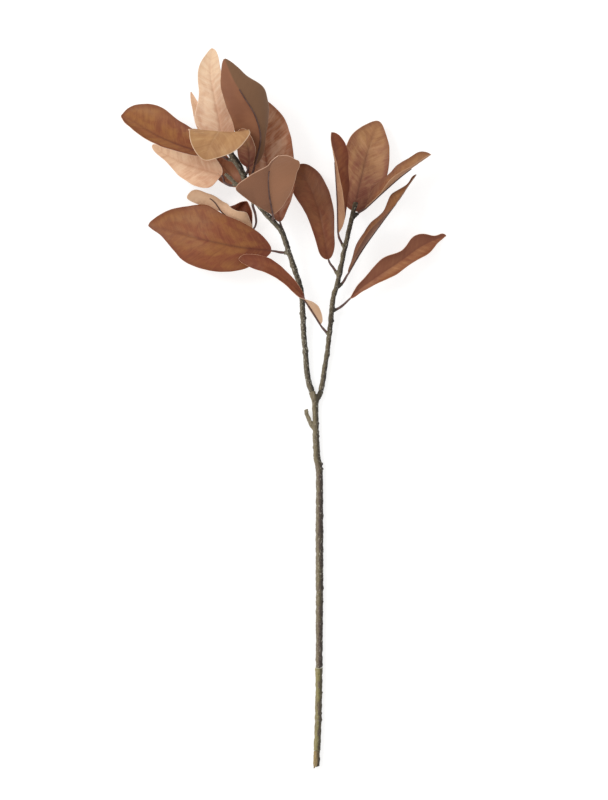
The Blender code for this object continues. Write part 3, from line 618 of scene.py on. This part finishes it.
def make_twig(name, branches, lumps, bark, seed):
    """One twig with its side branches, lumps and the nubs of its leaves."""
    axis = twig_axes[branches[0]]
    rods = bmesh.new()
    for branch in branches:
        add_rod(rods, twig_axes[branch])
    add_lumps(rods, axis, lumps)
    for run in LEAF_RUNS.values():
        if run["twig"] in branches:
            path, _ = leaf_path(run)
            end_at = nub_end(path, twig_axes[run["twig"]])
            rows = at_length(path, np.linspace(0.0, end_at, NUB_ROWS))
            radii = np.linspace(NUB_RADIUS, NUB_RADIUS * NUB_TAPER, NUB_ROWS)
            add_rod(rods, np.column_stack([rows, radii]), STALK_SIDES)
    skin = fused(name + "_bark", rods, SMOOTHING)
    roughen(skin, axis, TWIG_DEPTH, seed)
    settle(name + "_bark", skin, [bark], name)


left_bark = bark_material("left twig bark", "4C4230", "3E352A", "8A806A", "16120E", 0.7, 0.65)
right_bark = bark_material("right twig bark", "5E513A", "4A3E32", "8E846A", "1F1913", 0.5, 0.4)
make_twig("left_twig", ["left_twig", "left_spur"], LEFT_TWIG_LUMPS, left_bark, 4.0)
make_twig("right_twig", ["right_twig"], RIGHT_TWIG_LUMPS, right_bark, 5.0)


# ---- Leaf blades ------------------------------------------------------------------------
# Each blade is die cut from stiffened fabric, printed brown or peach on top and left as pale
# suede below, then pressed to shape with a creased midrib and shallow side veins.

# The faces say where the blade's top looks, from base to tip. Left and right are half widths
# seen from the top with the tip up. A cup is how far a side curls up, from base to tip. The
# wave is the height, the number and the start of the ripples along the edges. Whatever a leaf
# doesn't say, it has from the plain blade.
FACE_UP = [(0, 0, 1), (0, 0, 1), (0, 0, 1)]
PLAIN_BLADE = {
    "faces": FACE_UP, "cups": ((0.3, 0.3), (0.3, 0.3)), "wave": (1, 1.5, 0), "under": "suede",
}
BLADES = {
    "left_leaf_01": {
        "faces": [(0, 0.1, 1), (0, 0.1, 1), (0.1, 0, 1)],
        "left": (8, 19, 31, 37, 34.5, 21.5, 8.5, 3.5), "right": (10, 22, 30.5, 36, 43, 34, 22, 9),
        "cups": ((0.25, 0.25), (0.25, 0.25)), "wave": (2.5, 1.5, 0.4), "top": "amber",
    },
    "left_leaf_02": {
        "faces": [(0.3, 0, 1), (0.2, 0, 1), (0, 0, 1)],
        "left": (9, 22, 27, 24, 10), "right": (11, 28, 35, 31, 13),
        "cups": ((0.2, 0.2), (0.3, 0.3)), "wave": (2, 1.5, 0.9), "top": "rosy",
    },
    "left_leaf_03": {
        "faces": [(0, 0.85, -0.5), (0, 0.8, -0.6), (-0.15, 0.7, -0.65), (-0.4, 0.7, -0.6)],
        "left": (5.5, 15, 24, 31, 36, 40, 31, 17), "right": (6, 16, 29, 41, 23, 5, 2.5, 1.5),
        "wave": (2, 1.5, 0.0), "top": "chestnut", "under": "shaded half-lit suede",
    },
    "left_leaf_04": {
        "faces": [
            (0.9, 0.5, 0.1), (0.6, 0.8, 0.12), (0.15, 0.97, 0.25), (-0.1, 0.85, -0.3),
            (0, 0.3, -1), (0, 0.1, -1), (0, 0, -1),
        ],
        "left": (7, 15, 27, 17, 8, 5.5, 9, 5), "right": (10, 30, 38, 23, 19, 17, 10, 4),
        "cups": ((2.4, 0.3), (2.6, 0.6)), "wave": (1, 2.0, 0.2),
        "top": "russet", "under": "pale suede",
    },
    "left_leaf_05": {
        "left": (8, 15, 17, 15, 8), "right": (6, 11, 12, 11, 6), "top": "sienna",
    },
    "left_leaf_06": {
        "faces": [(0, 0, -1), (0, 0, -1), (0, 0, -1)],
        "left": (5, 8, 8, 20.5, 30, 20, 12.5, 5), "right": (12, 29, 28, 20, 8),
        "cups": ((1.3, 0.4), (0.3, 0.2)), "wave": (2, 2.0, 0.5),
        "top": "chestnut", "under": "shaded",
    },
    "left_leaf_07": {
        "faces": [(-0.2, -0.3, 1), (-0.2, -0.3, 1), (-0.2, -0.3, 1)],
        "left": (8, 13, 14, 12, 7), "right": (5, 7, 10, 9, 6), "top": "honey",
    },
    "left_leaf_08": {
        "left": (18, 23, 18, 8, 5), "right": (13, 22, 20, 12, 5),
        "cups": ((0.2, 0.2), (0.2, 0.2)), "wave": (1.5, 1.5, 0.0), "top": "peach",
    },
    "left_leaf_09": {
        "faces": [(0, 0.6, 0.8), (0, 0.7, 0.7), (-0.3, 0.6, 0.7)],
        "left": (8, 20, 21.5, 17.5, 8), "right": (8, 25, 31, 33, 19),
        "cups": ((0.8, 0.8), (0.8, 0.8)), "wave": (2, 1.5, 0.0), "top": "chestnut",
    },
    "left_leaf_10": {
        "left": (14, 30, 19, 15, 6), "right": (15, 21, 17, 13, 8),
        "cups": ((0.2, 0.2), (0.2, 0.2)), "wave": (1.5, 1.5, 0.0), "top": "cream",
    },
    "left_leaf_11": {
        "left": (7, 12, 11, 6, 3), "right": (7, 12, 10, 5, 2), "top": "peach",
    },
    "left_leaf_12": {
        "faces": [(-0.1, 1, 0), (-0.15, 0.9, 0.3), (-0.1, 0.5, 0.9), (0, 0.1, 1)],
        "left": (9, 29, 42, 28, 11), "right": (9, 25, 37, 30, 14),
        "cups": ((0.1, 0.1), (0.1, 0.1)), "wave": (1, 1.0, 0.0), "top": "ochre",
    },
    "right_leaf_01": {
        "faces": [
            (0.5, 0.3, -0.8), (0.5, 0.35, -0.75), (0.3, 0.5, 0.5), (0, 0.3, 1),
            (0, 0.2, 1), (0, 0, 1), (0, 0, 1),
        ],
        "left": (6, 10.5, 9, 7.5, 8.5, 8, 4), "right": (2, 3, 3, 6, 10, 10, 7),
        "cups": ((0.5, 0.3), (0.5, 0.3)), "wave": (1.5, 2.0, 0.0),
        "top": "russet", "under": "pale suede",
    },
    "right_leaf_02": {
        "left": (2, 6, 11, 17, 11, 17.5, 6, 4.5), "right": (2.5, 5, 7.5, 12, 11.5, 14, 6.5, 2),
        "cups": ((0.8, 0.8), (0.8, 0.8)), "wave": (3, 2.5, 0.0), "top": "two-tone",
    },
    "right_leaf_03": {
        "faces": [(-0.75, 0.5, 0), (-0.7, 0.45, 0.3), (-0.7, 0.45, 0.5)],
        "left": (3, 8, 15, 17, 6, 14, 4, 3), "right": (3, 8, 15, 17, 6, 12, 3, 2),
        "cups": ((1.1, 1.0), (1.1, 1.0)), "wave": (2, 2.0, 0.0),
        "top": "tawny", "under": "grey suede",
    },
    "right_leaf_04": {
        "left": (9, 12, 17, 22, 15), "right": (9, 14, 19, 20, 13), "top": "umber",
    },
    "right_leaf_05": {
        "faces": [(1, 0, 0), (1, 0, 0.05), (0.85, 0, 0.35), (0.6, 0, 0.8)],
        "left": (3.5, 11, 17, 19, 10, 12, 8, 4), "right": (5, 15, 22, 24, 22.5, 22, 16, 8),
        "cups": ((1.1, 0.9), (1.2, 0.8)), "wave": (1, 2.0, 0.0),
        "top": "russet", "under": "tan suede",
    },
    "right_leaf_06": {
        "faces": [(-0.6, 0.7, 0.5), (-0.65, 0.74, 0.2), (-0.5, 0.7, 0.5)],
        "left": (5, 16, 20, 17, 14.5), "right": (3, 7, 12, 11, 6),
        "cups": ((1.0, 1.0), (1.0, 1.0)), "wave": (1.5, 2.0, 0.0),
        "top": "tawny", "under": "tan suede",
    },
    "right_leaf_07": {
        "left": (14, 24, 28, 26, 11), "right": (15, 27, 31, 25, 11), "top": "honey",
    },
}
BLADE_THICKNESS = 0.55
BLADE_ROWS = 110
BLADE_COLUMNS = 50
BLADE_END_HALF_WIDTH = 1.1
FLATTEST_CUP = 0.0001
RIPPLE_LAG = 0.35
CREASE_DEPTH = 0.45
CREASE_WIDTH = 1.6
VEIN_RELIEF = 0.07
VEIN_SPACING = 9.0
VEIN_SLANT = 0.75
VEIN_FADE = 4.0
EDGE_FADE = 4
LOOK_AHEAD = 1.5
BASE_WIDTH_SHARE = 0.4
BASE_WIDENING = 8
ROW_CROWDING = 1.35
# The fabric's slow warp and quick puckers, each as a height, a length and a width.
WARP = (0.9, 26.0, 20.0)
PUCKER = (0.35, 9.0, 9.0)
RAGGED_HEIGHT = 0.5
RAGGED_LENGTH = 12.0
LEAF_SEED_STEP = 100.0


def leaf_frame(path, where, blade_start, faces):
    """Centre, left side, top direction and share of the blade, at lengths along its path."""
    total = lengths_along(path)[-1]
    centre = at_length(path, where)
    ahead = at_length(path, np.minimum(where + LOOK_AHEAD, total))
    ahead -= at_length(path, np.maximum(where - LOOK_AHEAD, 0.0))
    along = ahead / np.linalg.norm(ahead, axis=1)[:, None]
    share = np.clip((where - blade_start) / (total - blade_start), 0.0, 1.0)
    stations = np.linspace(0.0, 1.0, len(faces))
    columns = np.array(faces, dtype=float).T
    look = np.column_stack([np.interp(share, stations, column) for column in columns])
    top = look - along * np.sum(look * along, axis=1)[:, None]
    top = top / np.linalg.norm(top, axis=1)[:, None]
    return centre, np.cross(top, along), top, share


def half_width(widths, share):
    """Half width at each share of the blade's length, smooth, and zero at both ends."""
    stations = np.array([-widths[0], 0.0, *widths, 0.0, -widths[-1]])
    place = np.arccos(1 - 2 * share) / math.pi * (len(widths) + 1)
    low = np.minimum(place.astype(int), len(widths))
    before, start, end, after = (stations[low + step] for step in range(4))
    return np.maximum(catmull_rom(before, start, end, after, place - low), 0.0)


def blade_mesh(name, run, blade, seed):
    """The pressed blade's middle sheet, with its own place, edge distance and side stored on it."""
    path, blade_start = leaf_path(run)
    total = lengths_along(path)[-1]
    even = np.linspace(0.0, 1.0, BLADE_ROWS + 1)
    share = (even + (1 - np.cos(math.pi * even)) / 2) / 2
    where = blade_start + share * (total - blade_start)
    centre, side, top, share = leaf_frame(path, where, blade_start, blade["faces"])
    widths = np.array([half_width(blade["left"], share), half_width(blade["right"], share)])
    narrowest = BLADE_END_HALF_WIDTH * np.minimum(1.0, BASE_WIDTH_SHARE + share * BASE_WIDENING)
    widths = np.maximum(widths, narrowest)
    slopes = np.gradient(widths, where, axis=1)
    height, ripples, start = blade["wave"]
    bm = bmesh.new()
    bmesh.ops.create_grid(bm, x_segments=BLADE_ROWS, y_segments=BLADE_COLUMNS, size=1.0)
    bm.verts.ensure_lookup_table()
    places = []
    edges = []
    for vertex in bm.verts:
        row = round((vertex.co.x + 1) / 2 * BLADE_ROWS)
        across = math.copysign(abs(vertex.co.y) ** ROW_CROWDING, vertex.co.y)
        half = 0 if across > 0 else 1
        width = widths[half][row]
        flat = across * width
        cup_base, cup_tip = blade["cups"][half]
        cup = cup_base + (cup_tip - cup_base) * share[row] + FLATTEST_CUP
        bend_radius = width / cup
        turn = 2 * math.pi * (ripples * share[row] + start + half * RIPPLE_LAG)
        lift = bend_radius * (1 - math.cos(across * cup))
        lift += height * across**2 * math.sin(math.pi * share[row]) * math.sin(turn)
        at = where[row] - blade_start
        vein = (at - abs(flat) * VEIN_SLANT) / VEIN_SPACING + half * 0.5
        fade = min(1.0, abs(flat) / VEIN_FADE) * min(1.0, (1 - abs(across)) * EDGE_FADE)
        lift += VEIN_RELIEF * math.cos(2 * math.pi * vein) * fade
        crease = CREASE_DEPTH * math.exp(-((flat / CREASE_WIDTH) ** 2))
        lift -= crease * min(1.0, (1 - share[row]) * EDGE_FADE)
        for (deep, long, wide), step in ((WARP, 7.3), (PUCKER, 3.1)):
            lift += deep * abs(across) * noise.noise(Vector((at / long, flat / wide, seed * step)))
        out = bend_radius * math.sin(across * cup)
        ragged = noise.noise(Vector((at / RAGGED_LENGTH, seed, half * 5.0)))
        out += RAGGED_HEIGHT * abs(across) ** 3 * ragged
        spot = centre[row] + side[row] * out + top[row] * lift
        vertex.co = FORK_PLACE + Vector(spot) * MM
        places.append((at, flat, seed * LEAF_SEED_STEP))
        edges.append((1 - abs(across)) * width / math.hypot(1.0, slopes[half][row]))
    mesh = mesh_from(name, bm)
    store(mesh, "leaf_place", places)
    store(mesh, "edge_distance", edges)
    store(mesh, "leaf_share", np.array(places)[:, 0] / (total - blade_start))
    mesh.shade_smooth()
    return mesh


def vein_lines(tree, place, spacing, width):
    """Slanting side veins, each side half a step on from the other: 1 on a vein and 0 between."""
    parts = node(tree, "SeparateXYZ", {0: place}).outputs
    away = math_node(tree, "ABSOLUTE", parts["Y"])
    wander = stretched_noise(tree, place, (16.0, 16.0, 1.0), 2.0)
    bent = math_node(tree, "POWER", away, 0.92)
    along = math_node(tree, "SUBTRACT", parts["X"], times(tree, bent, VEIN_SLANT * 1.25))
    along = plus(tree, along, times(tree, wander, 6.0))
    other = times(tree, math_node(tree, "LESS_THAN", parts["Y"], 0.0), 0.5)
    step = plus(tree, math_node(tree, "DIVIDE", along, spacing), other)
    phase = math_node(tree, "SUBTRACT", math_node(tree, "FRACT", step), 0.5)
    gap = math_node(tree, "ABSOLUTE", phase)
    line = band(tree, gap, width / spacing, 0.0)
    return times(tree, line, band(tree, away, 0.5, 3.0)), away, along


def print_group():
    """The printed top: ochre clouds, streaks along the veins, fine veins, a dark midrib and rim."""
    colours = ("Ground", "Cloud", "Deep", "Vein", "Midrib", "Rim", "Left half", "Tip")
    shares = {
        "Left amount": 0.0, "Tip amount": 0.0, "Base amount": 0.3, "Cloud amount": 0.8,
        "Streak amount": 0.3, "Vein amount": 0.1, "Midrib amount": 0.5, "Deep edge": 0.5,
        "Rim width": 0.6,
    }
    tree, given, end = new_group("leaf print", colours, shares, ["Height", "Roughness"])
    place = attribute(tree, "leaf_place")
    edge = attribute(tree, "edge_distance", "Fac")
    share = attribute(tree, "leaf_share", "Fac")
    _, across, leaf = node(tree, "SeparateXYZ", {0: place}).outputs
    veins, away, along = vein_lines(tree, place, VEIN_SPACING, 1.3)
    fine_veins, _, _ = vein_lines(tree, place, VEIN_SPACING / 3, 0.7)
    clouds = stretched_noise(tree, place, (26.0, 16.0, 1.0), 4.0, 0.5, 0.6)
    streak_place = node(tree, "CombineXYZ", {"X": along, "Y": away, "Z": leaf}).outputs[0]
    streaks = stretched_noise(tree, streak_place, (4.4, 26.0, 1.0), 3.0, 0.5)
    mottle = stretched_noise(tree, streak_place, (9.0, 14.0, 1.0), 3.0, 0.5, 0.5)
    grain = stretched_noise(tree, place, (2.2, 1.4, 1.0), 3.0, 0.6)
    specks = stretched_noise(tree, place, (0.7, 0.7, 1.0), 2.0, 0.6)
    toward_tip = plus(tree, share, times(tree, clouds, 0.8))
    rim_deep = band(tree, math_node(tree, "SUBTRACT", edge, times(tree, mottle, 9.0)), 3.0, -4.0)
    base_deep = band(tree, plus(tree, share, times(tree, mottle, 0.2)), 0.32, 0.10)
    midrib = plus(tree, band(tree, away, 1.0, 0.3, 0.0, 0.5), band(tree, away, 2.8, 0.4, 0.0, 0.5))
    midrib = times(tree, midrib, band(tree, share, 0.9, 0.35, 0.15, 1.0))
    # Each layer goes over the ones before: how much of it shows, by what share, and its colour.
    layers = [
        (band(tree, clouds, 0.40, 0.62), given["Cloud amount"], "Cloud"),
        (band(tree, toward_tip, 0.65, 1.35), given["Tip amount"], "Tip"),
        (band(tree, toward_tip, 0.85, 0.35), given["Base amount"], "Deep"),
        (band(tree, streaks, 0.46, 0.72), given["Streak amount"], "Vein"),
        (band(tree, streaks, 0.47, 0.25), given["Streak amount"], "Deep"),
        (band(tree, mottle, 0.54, 0.32), 0.32, "Deep"),
        (band(tree, mottle, 0.52, 0.72), 0.28, "Vein"),
        (band(tree, grain, 0.46, 0.28), 0.3, "Deep"),
        (veins, given["Vein amount"], "Vein"),
        (fine_veins, 0.05, "Vein"),
        (math_node(tree, "MAXIMUM", rim_deep, base_deep), given["Deep edge"], "Deep"),
        (band(tree, away, 5.0, 0.5), 0.2, "Deep"),
        (band(tree, across, -0.6, 0.6), given["Left amount"], "Left half"),
        (midrib, given["Midrib amount"], "Midrib"),
        (band(tree, edge, given["Rim width"], 0.0), 0.8, "Rim"),
        (band(tree, specks, 0.42, 0.25), 0.18, "Deep"),
    ]
    colour = given["Ground"]
    for shown, amount, label in layers:
        colour = mixed(tree, times(tree, shown, amount), colour, given[label])
    height = plus(tree, times(tree, specks, 0.25), times(tree, mottle, 0.4))
    height = math_node(tree, "SUBTRACT", height, times(tree, fine_veins, 0.08))
    height = math_node(tree, "SUBTRACT", height, times(tree, veins, 0.15))
    roughness = band(tree, clouds, 0.3, 0.7, 0.58, 0.46)
    feed(tree, end, {"Color": colour, "Height": height, "Roughness": roughness})
    return tree


def suede_group():
    """The plain underside: short nap and soft clouds. One half can take another colour, which is
    painted light on the half-lit underside and painted shade on the shaded one.
    """
    colours = ("Nap", "Shadow", "Rim", "Left half")
    tree, given, end = new_group("leaf suede", colours, {"Left amount": 0.0}, ["Height"])
    place = attribute(tree, "leaf_place")
    edge = attribute(tree, "edge_distance", "Fac")
    across = node(tree, "SeparateXYZ", {0: place}).outputs["Y"]
    clouds = stretched_noise(tree, place, (34.0, 24.0, 1.0), 2.0, 0.4, 0.3)
    nap = stretched_noise(tree, place, (0.8, 0.5, 1.0), 3.0, 0.7)
    colour = mixed(tree, band(tree, clouds, 0.38, 0.66), given["Nap"], given["Shadow"])
    # The left half's colour is painted light on the half-lit underside and painted shade on the
    # shaded one.
    is_left = times(tree, band(tree, across, -1.0, 1.0), given["Left amount"])
    colour = mixed(tree, is_left, colour, given["Left half"])
    colour = mixed(tree, band(tree, nap, 0.40, 0.75, 0.0, 0.12), colour, given["Rim"])
    colour = mixed(tree, band(tree, edge, 0.9, 0.2, 0.0, 0.7), colour, given["Rim"])
    feed(tree, end, {"Color": colour, "Height": nap})
    return tree


# The prints of the tops. A base gives the ground, cloud, deep, vein, midrib and rim colours.
BASE_COLOURS = ("Ground", "Cloud", "Deep", "Vein", "Midrib", "Rim")
PRINTS = {
    "chestnut": {
        "base": "844A2B 986433 6C3222 A06A38 4C241B A07048",
        "Tip": "8E5C2E", "Tip amount": 0.6,
    },
    "amber": {
        "base": "84482C 946032 6A3222 9C683A 4C241B 945C38",
        "Tip": "8C5A2E", "Tip amount": 0.5, "Base amount": 0.5, "Midrib amount": 0.4,
    },
    "honey": {
        "base": "905945 A47452 713D2F B88C66 4E2A20 A87C54",
        "Tip": "B08452", "Tip amount": 0.6, "Base amount": 0.7, "Midrib amount": 0.45,
        "Streak amount": 0.5,
    },
    "sienna": {
        "base": "B47A5C BE8866 945A42 C89A7A 6A3C2E C09070",
        "Midrib amount": 0.2,
    },
    "russet": {
        "base": "7C4027 8D5330 622D1E 965E38 4A241A B07656",
        "Midrib amount": 0.25,
    },
    "umber": {
        "base": "7A4229 865432 5E2D1C 8E5C3A 44221A 7C4E36",
        "Midrib amount": 0.12, "Tip": "72462C", "Tip amount": 0.6,
    },
    "rosy": {
        "base": "A0684A C4987E 86492F CBA68E 5E3226 9A6246",
        "Cloud amount": 0.9, "Streak amount": 0.5, "Tip": "A8744C", "Tip amount": 0.5,
        "Base amount": 0.7,
    },
    "cream": {
        "base": "E8C6A6 C8987A CA9A7C F2DCC4 B58A6C F2DECC",
        "Cloud amount": 0.9, "Midrib amount": 0.08, "Deep edge": 0.1, "Tip": "F0D2AE",
        "Tip amount": 0.7,
    },
    "peach": {
        "base": "E8C2A0 CE9A78 C28A6A F0D2B2 A8785C F4D8BE",
        "Cloud amount": 0.75, "Midrib amount": 0.1, "Deep edge": 0.15, "Tip": "F2D0AC",
        "Tip amount": 0.9,
    },
    "ochre": {
        "base": "A2764E B08458 8E6440 BC9668 C0A078 E4C6A8",
        "Deep edge": 0.2, "Rim width": 1.3, "Midrib amount": 0.3,
    },
    "tawny": {
        "base": "8A5639 9A6843 6C3C28 A67A54 553225 7C5036",
        "Midrib amount": 0.2, "Base amount": 0.6, "Tip": "A2764C", "Tip amount": 0.7,
    },
    "two-tone": {
        "base": "945F3E A8744A 7E4530 B88358 52281F 94603F",
        "Left half": "754433", "Left amount": 0.7, "Midrib amount": 0.15, "Streak amount": 0.5,
        "Tip": "8A5438", "Tip amount": 0.6,
    },
}
# The undersides, each as its group's values. The half-lit and shaded ones are darker copies of the
# suede, with the shade they lie in painted into them.
SUEDES = {
    "suede": {"Nap": "AD8060", "Shadow": "946A4C", "Rim": "DBB299"},
    "pale suede": {"Nap": "D2AE8E", "Shadow": "C09A7A", "Rim": "E6CAB0"},
    "shaded half-lit suede": {
        "Nap": "7F543B", "Shadow": "744C35", "Rim": "D8B094", "Left half": "9C6C4E",
        "Left amount": 0.8,
    },
    "shaded": {
        "Nap": "8C5C40", "Shadow": "80523A", "Rim": "9C7256", "Left half": "70523A",
        "Left amount": 0.9,
    },
    "tan suede": {"Nap": "AA7E5E", "Shadow": "9C7052", "Rim": "BE9474"},
    "grey suede": {"Nap": "84583E", "Shadow": "6C4430", "Rim": "8C6248"},
}
SUEDE_ROUGHNESS = 0.62
FABRIC_SHINE = 0.25
PRINT_GROUP = print_group()
SUEDE_GROUP = suede_group()


def grouped_material(name, group, values, strength, distance, sheen):
    """Matt fabric whose colour and relief come from a node group."""
    material, tree, shader = new_material(name)
    inputs = {key: paint(value) if isinstance(value, str) else value for key, value in values.items()}
    drawn = node(tree, "Group", inputs, node_tree=group)
    dress(tree, shader, drawn.outputs["Color"], drawn.outputs["Height"], strength, distance)
    roughness = drawn.outputs["Roughness"] if "Roughness" in drawn.outputs else SUEDE_ROUGHNESS
    surface = {"Roughness": roughness, "Sheen Weight": sheen, "Specular IOR Level": FABRIC_SHINE}
    feed(tree, shader, surface)
    return material


prints = {}
for name, extras in PRINTS.items():
    values = dict(zip(BASE_COLOURS, extras.pop("base").split())) | extras
    prints[name] = grouped_material(name + " print", PRINT_GROUP, values, 0.35, 0.3, 0.0)
suedes = {}
for name, values in SUEDES.items():
    suedes[name] = grouped_material(name + " back", SUEDE_GROUP, values, 0.35, 0.2, 0.05)
# The undersides whose leaves show a pale cut rim. The others' rims are as dark as the fabric.
PALE_RIMMED = ("suede", "pale suede", "shaded half-lit suede")
rim_values = {"Nap": "D8B094", "Shadow": "C2967A", "Rim": "E2C0A8"}
cut_rim = grouped_material("cut fabric rim", SUEDE_GROUP, rim_values, 0.5, 0.2, 0.0)

for seed, (leaf, run) in enumerate(LEAF_RUNS.items(), start=1):
    blade = PLAIN_BLADE | BLADES[leaf]
    sheet = blade_mesh(leaf + "_fabric", run, blade, float(seed))
    suede = suedes[blade["under"]]
    materials = [prints[blade["top"]], suede, cut_rim if blade["under"] in PALE_RIMMED else suede]
    piece = settle(leaf + "_fabric", sheet, materials, leaf + "_blade")
    thickness = piece.modifiers.new("thickness", "SOLIDIFY")
    thickness.thickness = BLADE_THICKNESS * MM
    thickness.offset = 0.0
    thickness.material_offset = 1
    thickness.material_offset_rim = 2


# ---- Stalks -----------------------------------------------------------------------------
# Each stalk is moulded over wire in dark purple brown, swollen at its foot. It runs on as a
# thin midrib wire glued under the blade.

WIRE_SHARE = 0.7
WIRE_RADIUS = 1.15
WIRE_TIP_RADIUS = 0.7
WIRE_DROP = 1.3
STALK_FLARE = 1.5
STALK_SEED_STEP = 60.0
FIT_GAP = 0.3
WOBBLE = 0.10
WOBBLE_LENGTH = 4.0


def stalk_material():
    """Moulded plastic in dark purple brown, streaked along its length."""
    material, tree, shader = new_material("moulded stalk")
    place = attribute(tree, "stalk_place")
    streaks = stretched_noise(tree, place, (1.0, 1.0, 9.0), 3.0, 0.6)
    patches = stretched_noise(tree, place, (4.0, 4.0, 7.0), 3.0, 0.6)
    colour = mixed(tree, band(tree, patches, 0.38, 0.64), paint("492D27"), paint("5E4038"))
    colour = mixed(tree, band(tree, streaks, 0.50, 0.72, 0.0, 0.5), colour, paint("775A50"))
    dress(tree, shader, colour, streaks, 0.4, 0.25)
    feed(tree, shader, {"Roughness": band(tree, patches, 0.3, 0.7, 0.55, 0.42)})
    return material


def stalk_mesh(name, run, blade, seed):
    """The stalk from its nub to the blade, then the wire along the blade's underside."""
    path, blade_start = leaf_path(run)
    total = lengths_along(path)[-1]
    foot_at = nub_end(path, twig_axes[run["twig"]]) + FIT_GAP
    wire_end = blade_start + WIRE_SHARE * (total - blade_start)
    where = np.linspace(foot_at, wire_end, round(wire_end - foot_at) + 1)
    centre, _, top, share = leaf_frame(path, where, blade_start, blade["faces"])
    gone = np.clip((where - foot_at) / (blade_start - foot_at), 0.0, 1.0) ** STALK_FLARE
    stalk_radius = STALK_RADIUS + (WIRE_RADIUS - STALK_RADIUS) * gone
    wire_radius = WIRE_RADIUS + (WIRE_TIP_RADIUS - WIRE_RADIUS) * share / WIRE_SHARE
    radius = np.where(gone < 1.0, stalk_radius, wire_radius)
    wobble = np.array([noise.noise(Vector((at / WOBBLE_LENGTH, seed, 0.0))) for at in where])
    middle = centre - top * (WIRE_DROP * gone)[:, None]
    rows = np.column_stack([middle, radius * (1 + WOBBLE * wobble)])
    bm = bmesh.new()
    add_rod(bm, rows, STALK_SIDES)
    bmesh.ops.recalc_face_normals(bm, faces=bm.faces)
    mesh = mesh_from(name, bm)
    points = (points_of(mesh) - np.array(FORK_PLACE)) / MM
    store(mesh, "stalk_place", straightened(points, rows) + (0.0, 0.0, seed * STALK_SEED_STEP))
    mesh.shade_smooth()
    return mesh


stalk_coat = stalk_material()
for seed, (leaf, run) in enumerate(LEAF_RUNS.items(), start=1):
    mesh = stalk_mesh(leaf + "_wire", run, PLAIN_BLADE | BLADES[leaf], float(seed))
    settle(leaf + "_wire", mesh, [stalk_coat], leaf + "_stalk")


# ---- Surface, light and camera ----------------------------------------------------------
# The branch lies on a plain white surface under a large soft light from the upper left, and
# the camera looks straight down at it. The surface glows a little, so its shadows stay faint.

SURFACE_SIZE = 12.0
CAMERA_HEIGHT = 4.0
CAMERA_AIM = Vector((-12.5, -2.5, 0.0)) * MM
CAMERA_LENS = 144.0
SKY_COLOUR = (1.0, 0.985, 0.965, 1.0)
SKY_STRENGTH = 0.81
SURFACE_GLOW = 0.7
SURFACE_WHITE = 0.42
SURFACE_ROUGHNESS = 0.9
LIGHT_PLACE = Vector((-1.9, 1.2, 2.2))
LIGHT_SIZE = 1.4
LIGHT_POWER = 36.0

surface_bm = bmesh.new()
bmesh.ops.create_grid(surface_bm, x_segments=1, y_segments=1, size=SURFACE_SIZE / 2)
surface = placed("surface", mesh_from("surface", surface_bm))
white, white_tree, white_shader = new_material("white surface")
feed(white_tree, white_shader, {
    "Base Color": (SURFACE_WHITE, SURFACE_WHITE, SURFACE_WHITE, 1.0),
    "Roughness": SURFACE_ROUGHNESS, "Specular IOR Level": 0.0,
    "Emission Color": (1.0, 1.0, 1.0, 1.0), "Emission Strength": SURFACE_GLOW,
})
surface.data.materials.append(white)

world = bpy.data.worlds.new("soft studio")
world.use_nodes = True
sky = world.node_tree.nodes["Background"]
feed(world.node_tree, sky, {"Color": SKY_COLOUR, "Strength": SKY_STRENGTH})
bpy.context.scene.world = world
bpy.context.scene.view_settings.view_transform = "Standard"

lamp = bpy.data.lights.new("large soft light", "AREA")
lamp.shape = "DISK"
lamp.size = LIGHT_SIZE
lamp.energy = LIGHT_POWER
lamp_object = placed("large soft light", lamp)
lamp_object.location = LIGHT_PLACE
lamp_object.rotation_euler = (-LIGHT_PLACE).to_track_quat("-Z", "Y").to_euler()

camera = placed("camera", bpy.data.cameras.new("camera"))
camera.data.lens = CAMERA_LENS
camera.location = FORK_PLACE + CAMERA_AIM + Vector((0.0, 0.0, CAMERA_HEIGHT))
bpy.context.scene.camera = camera
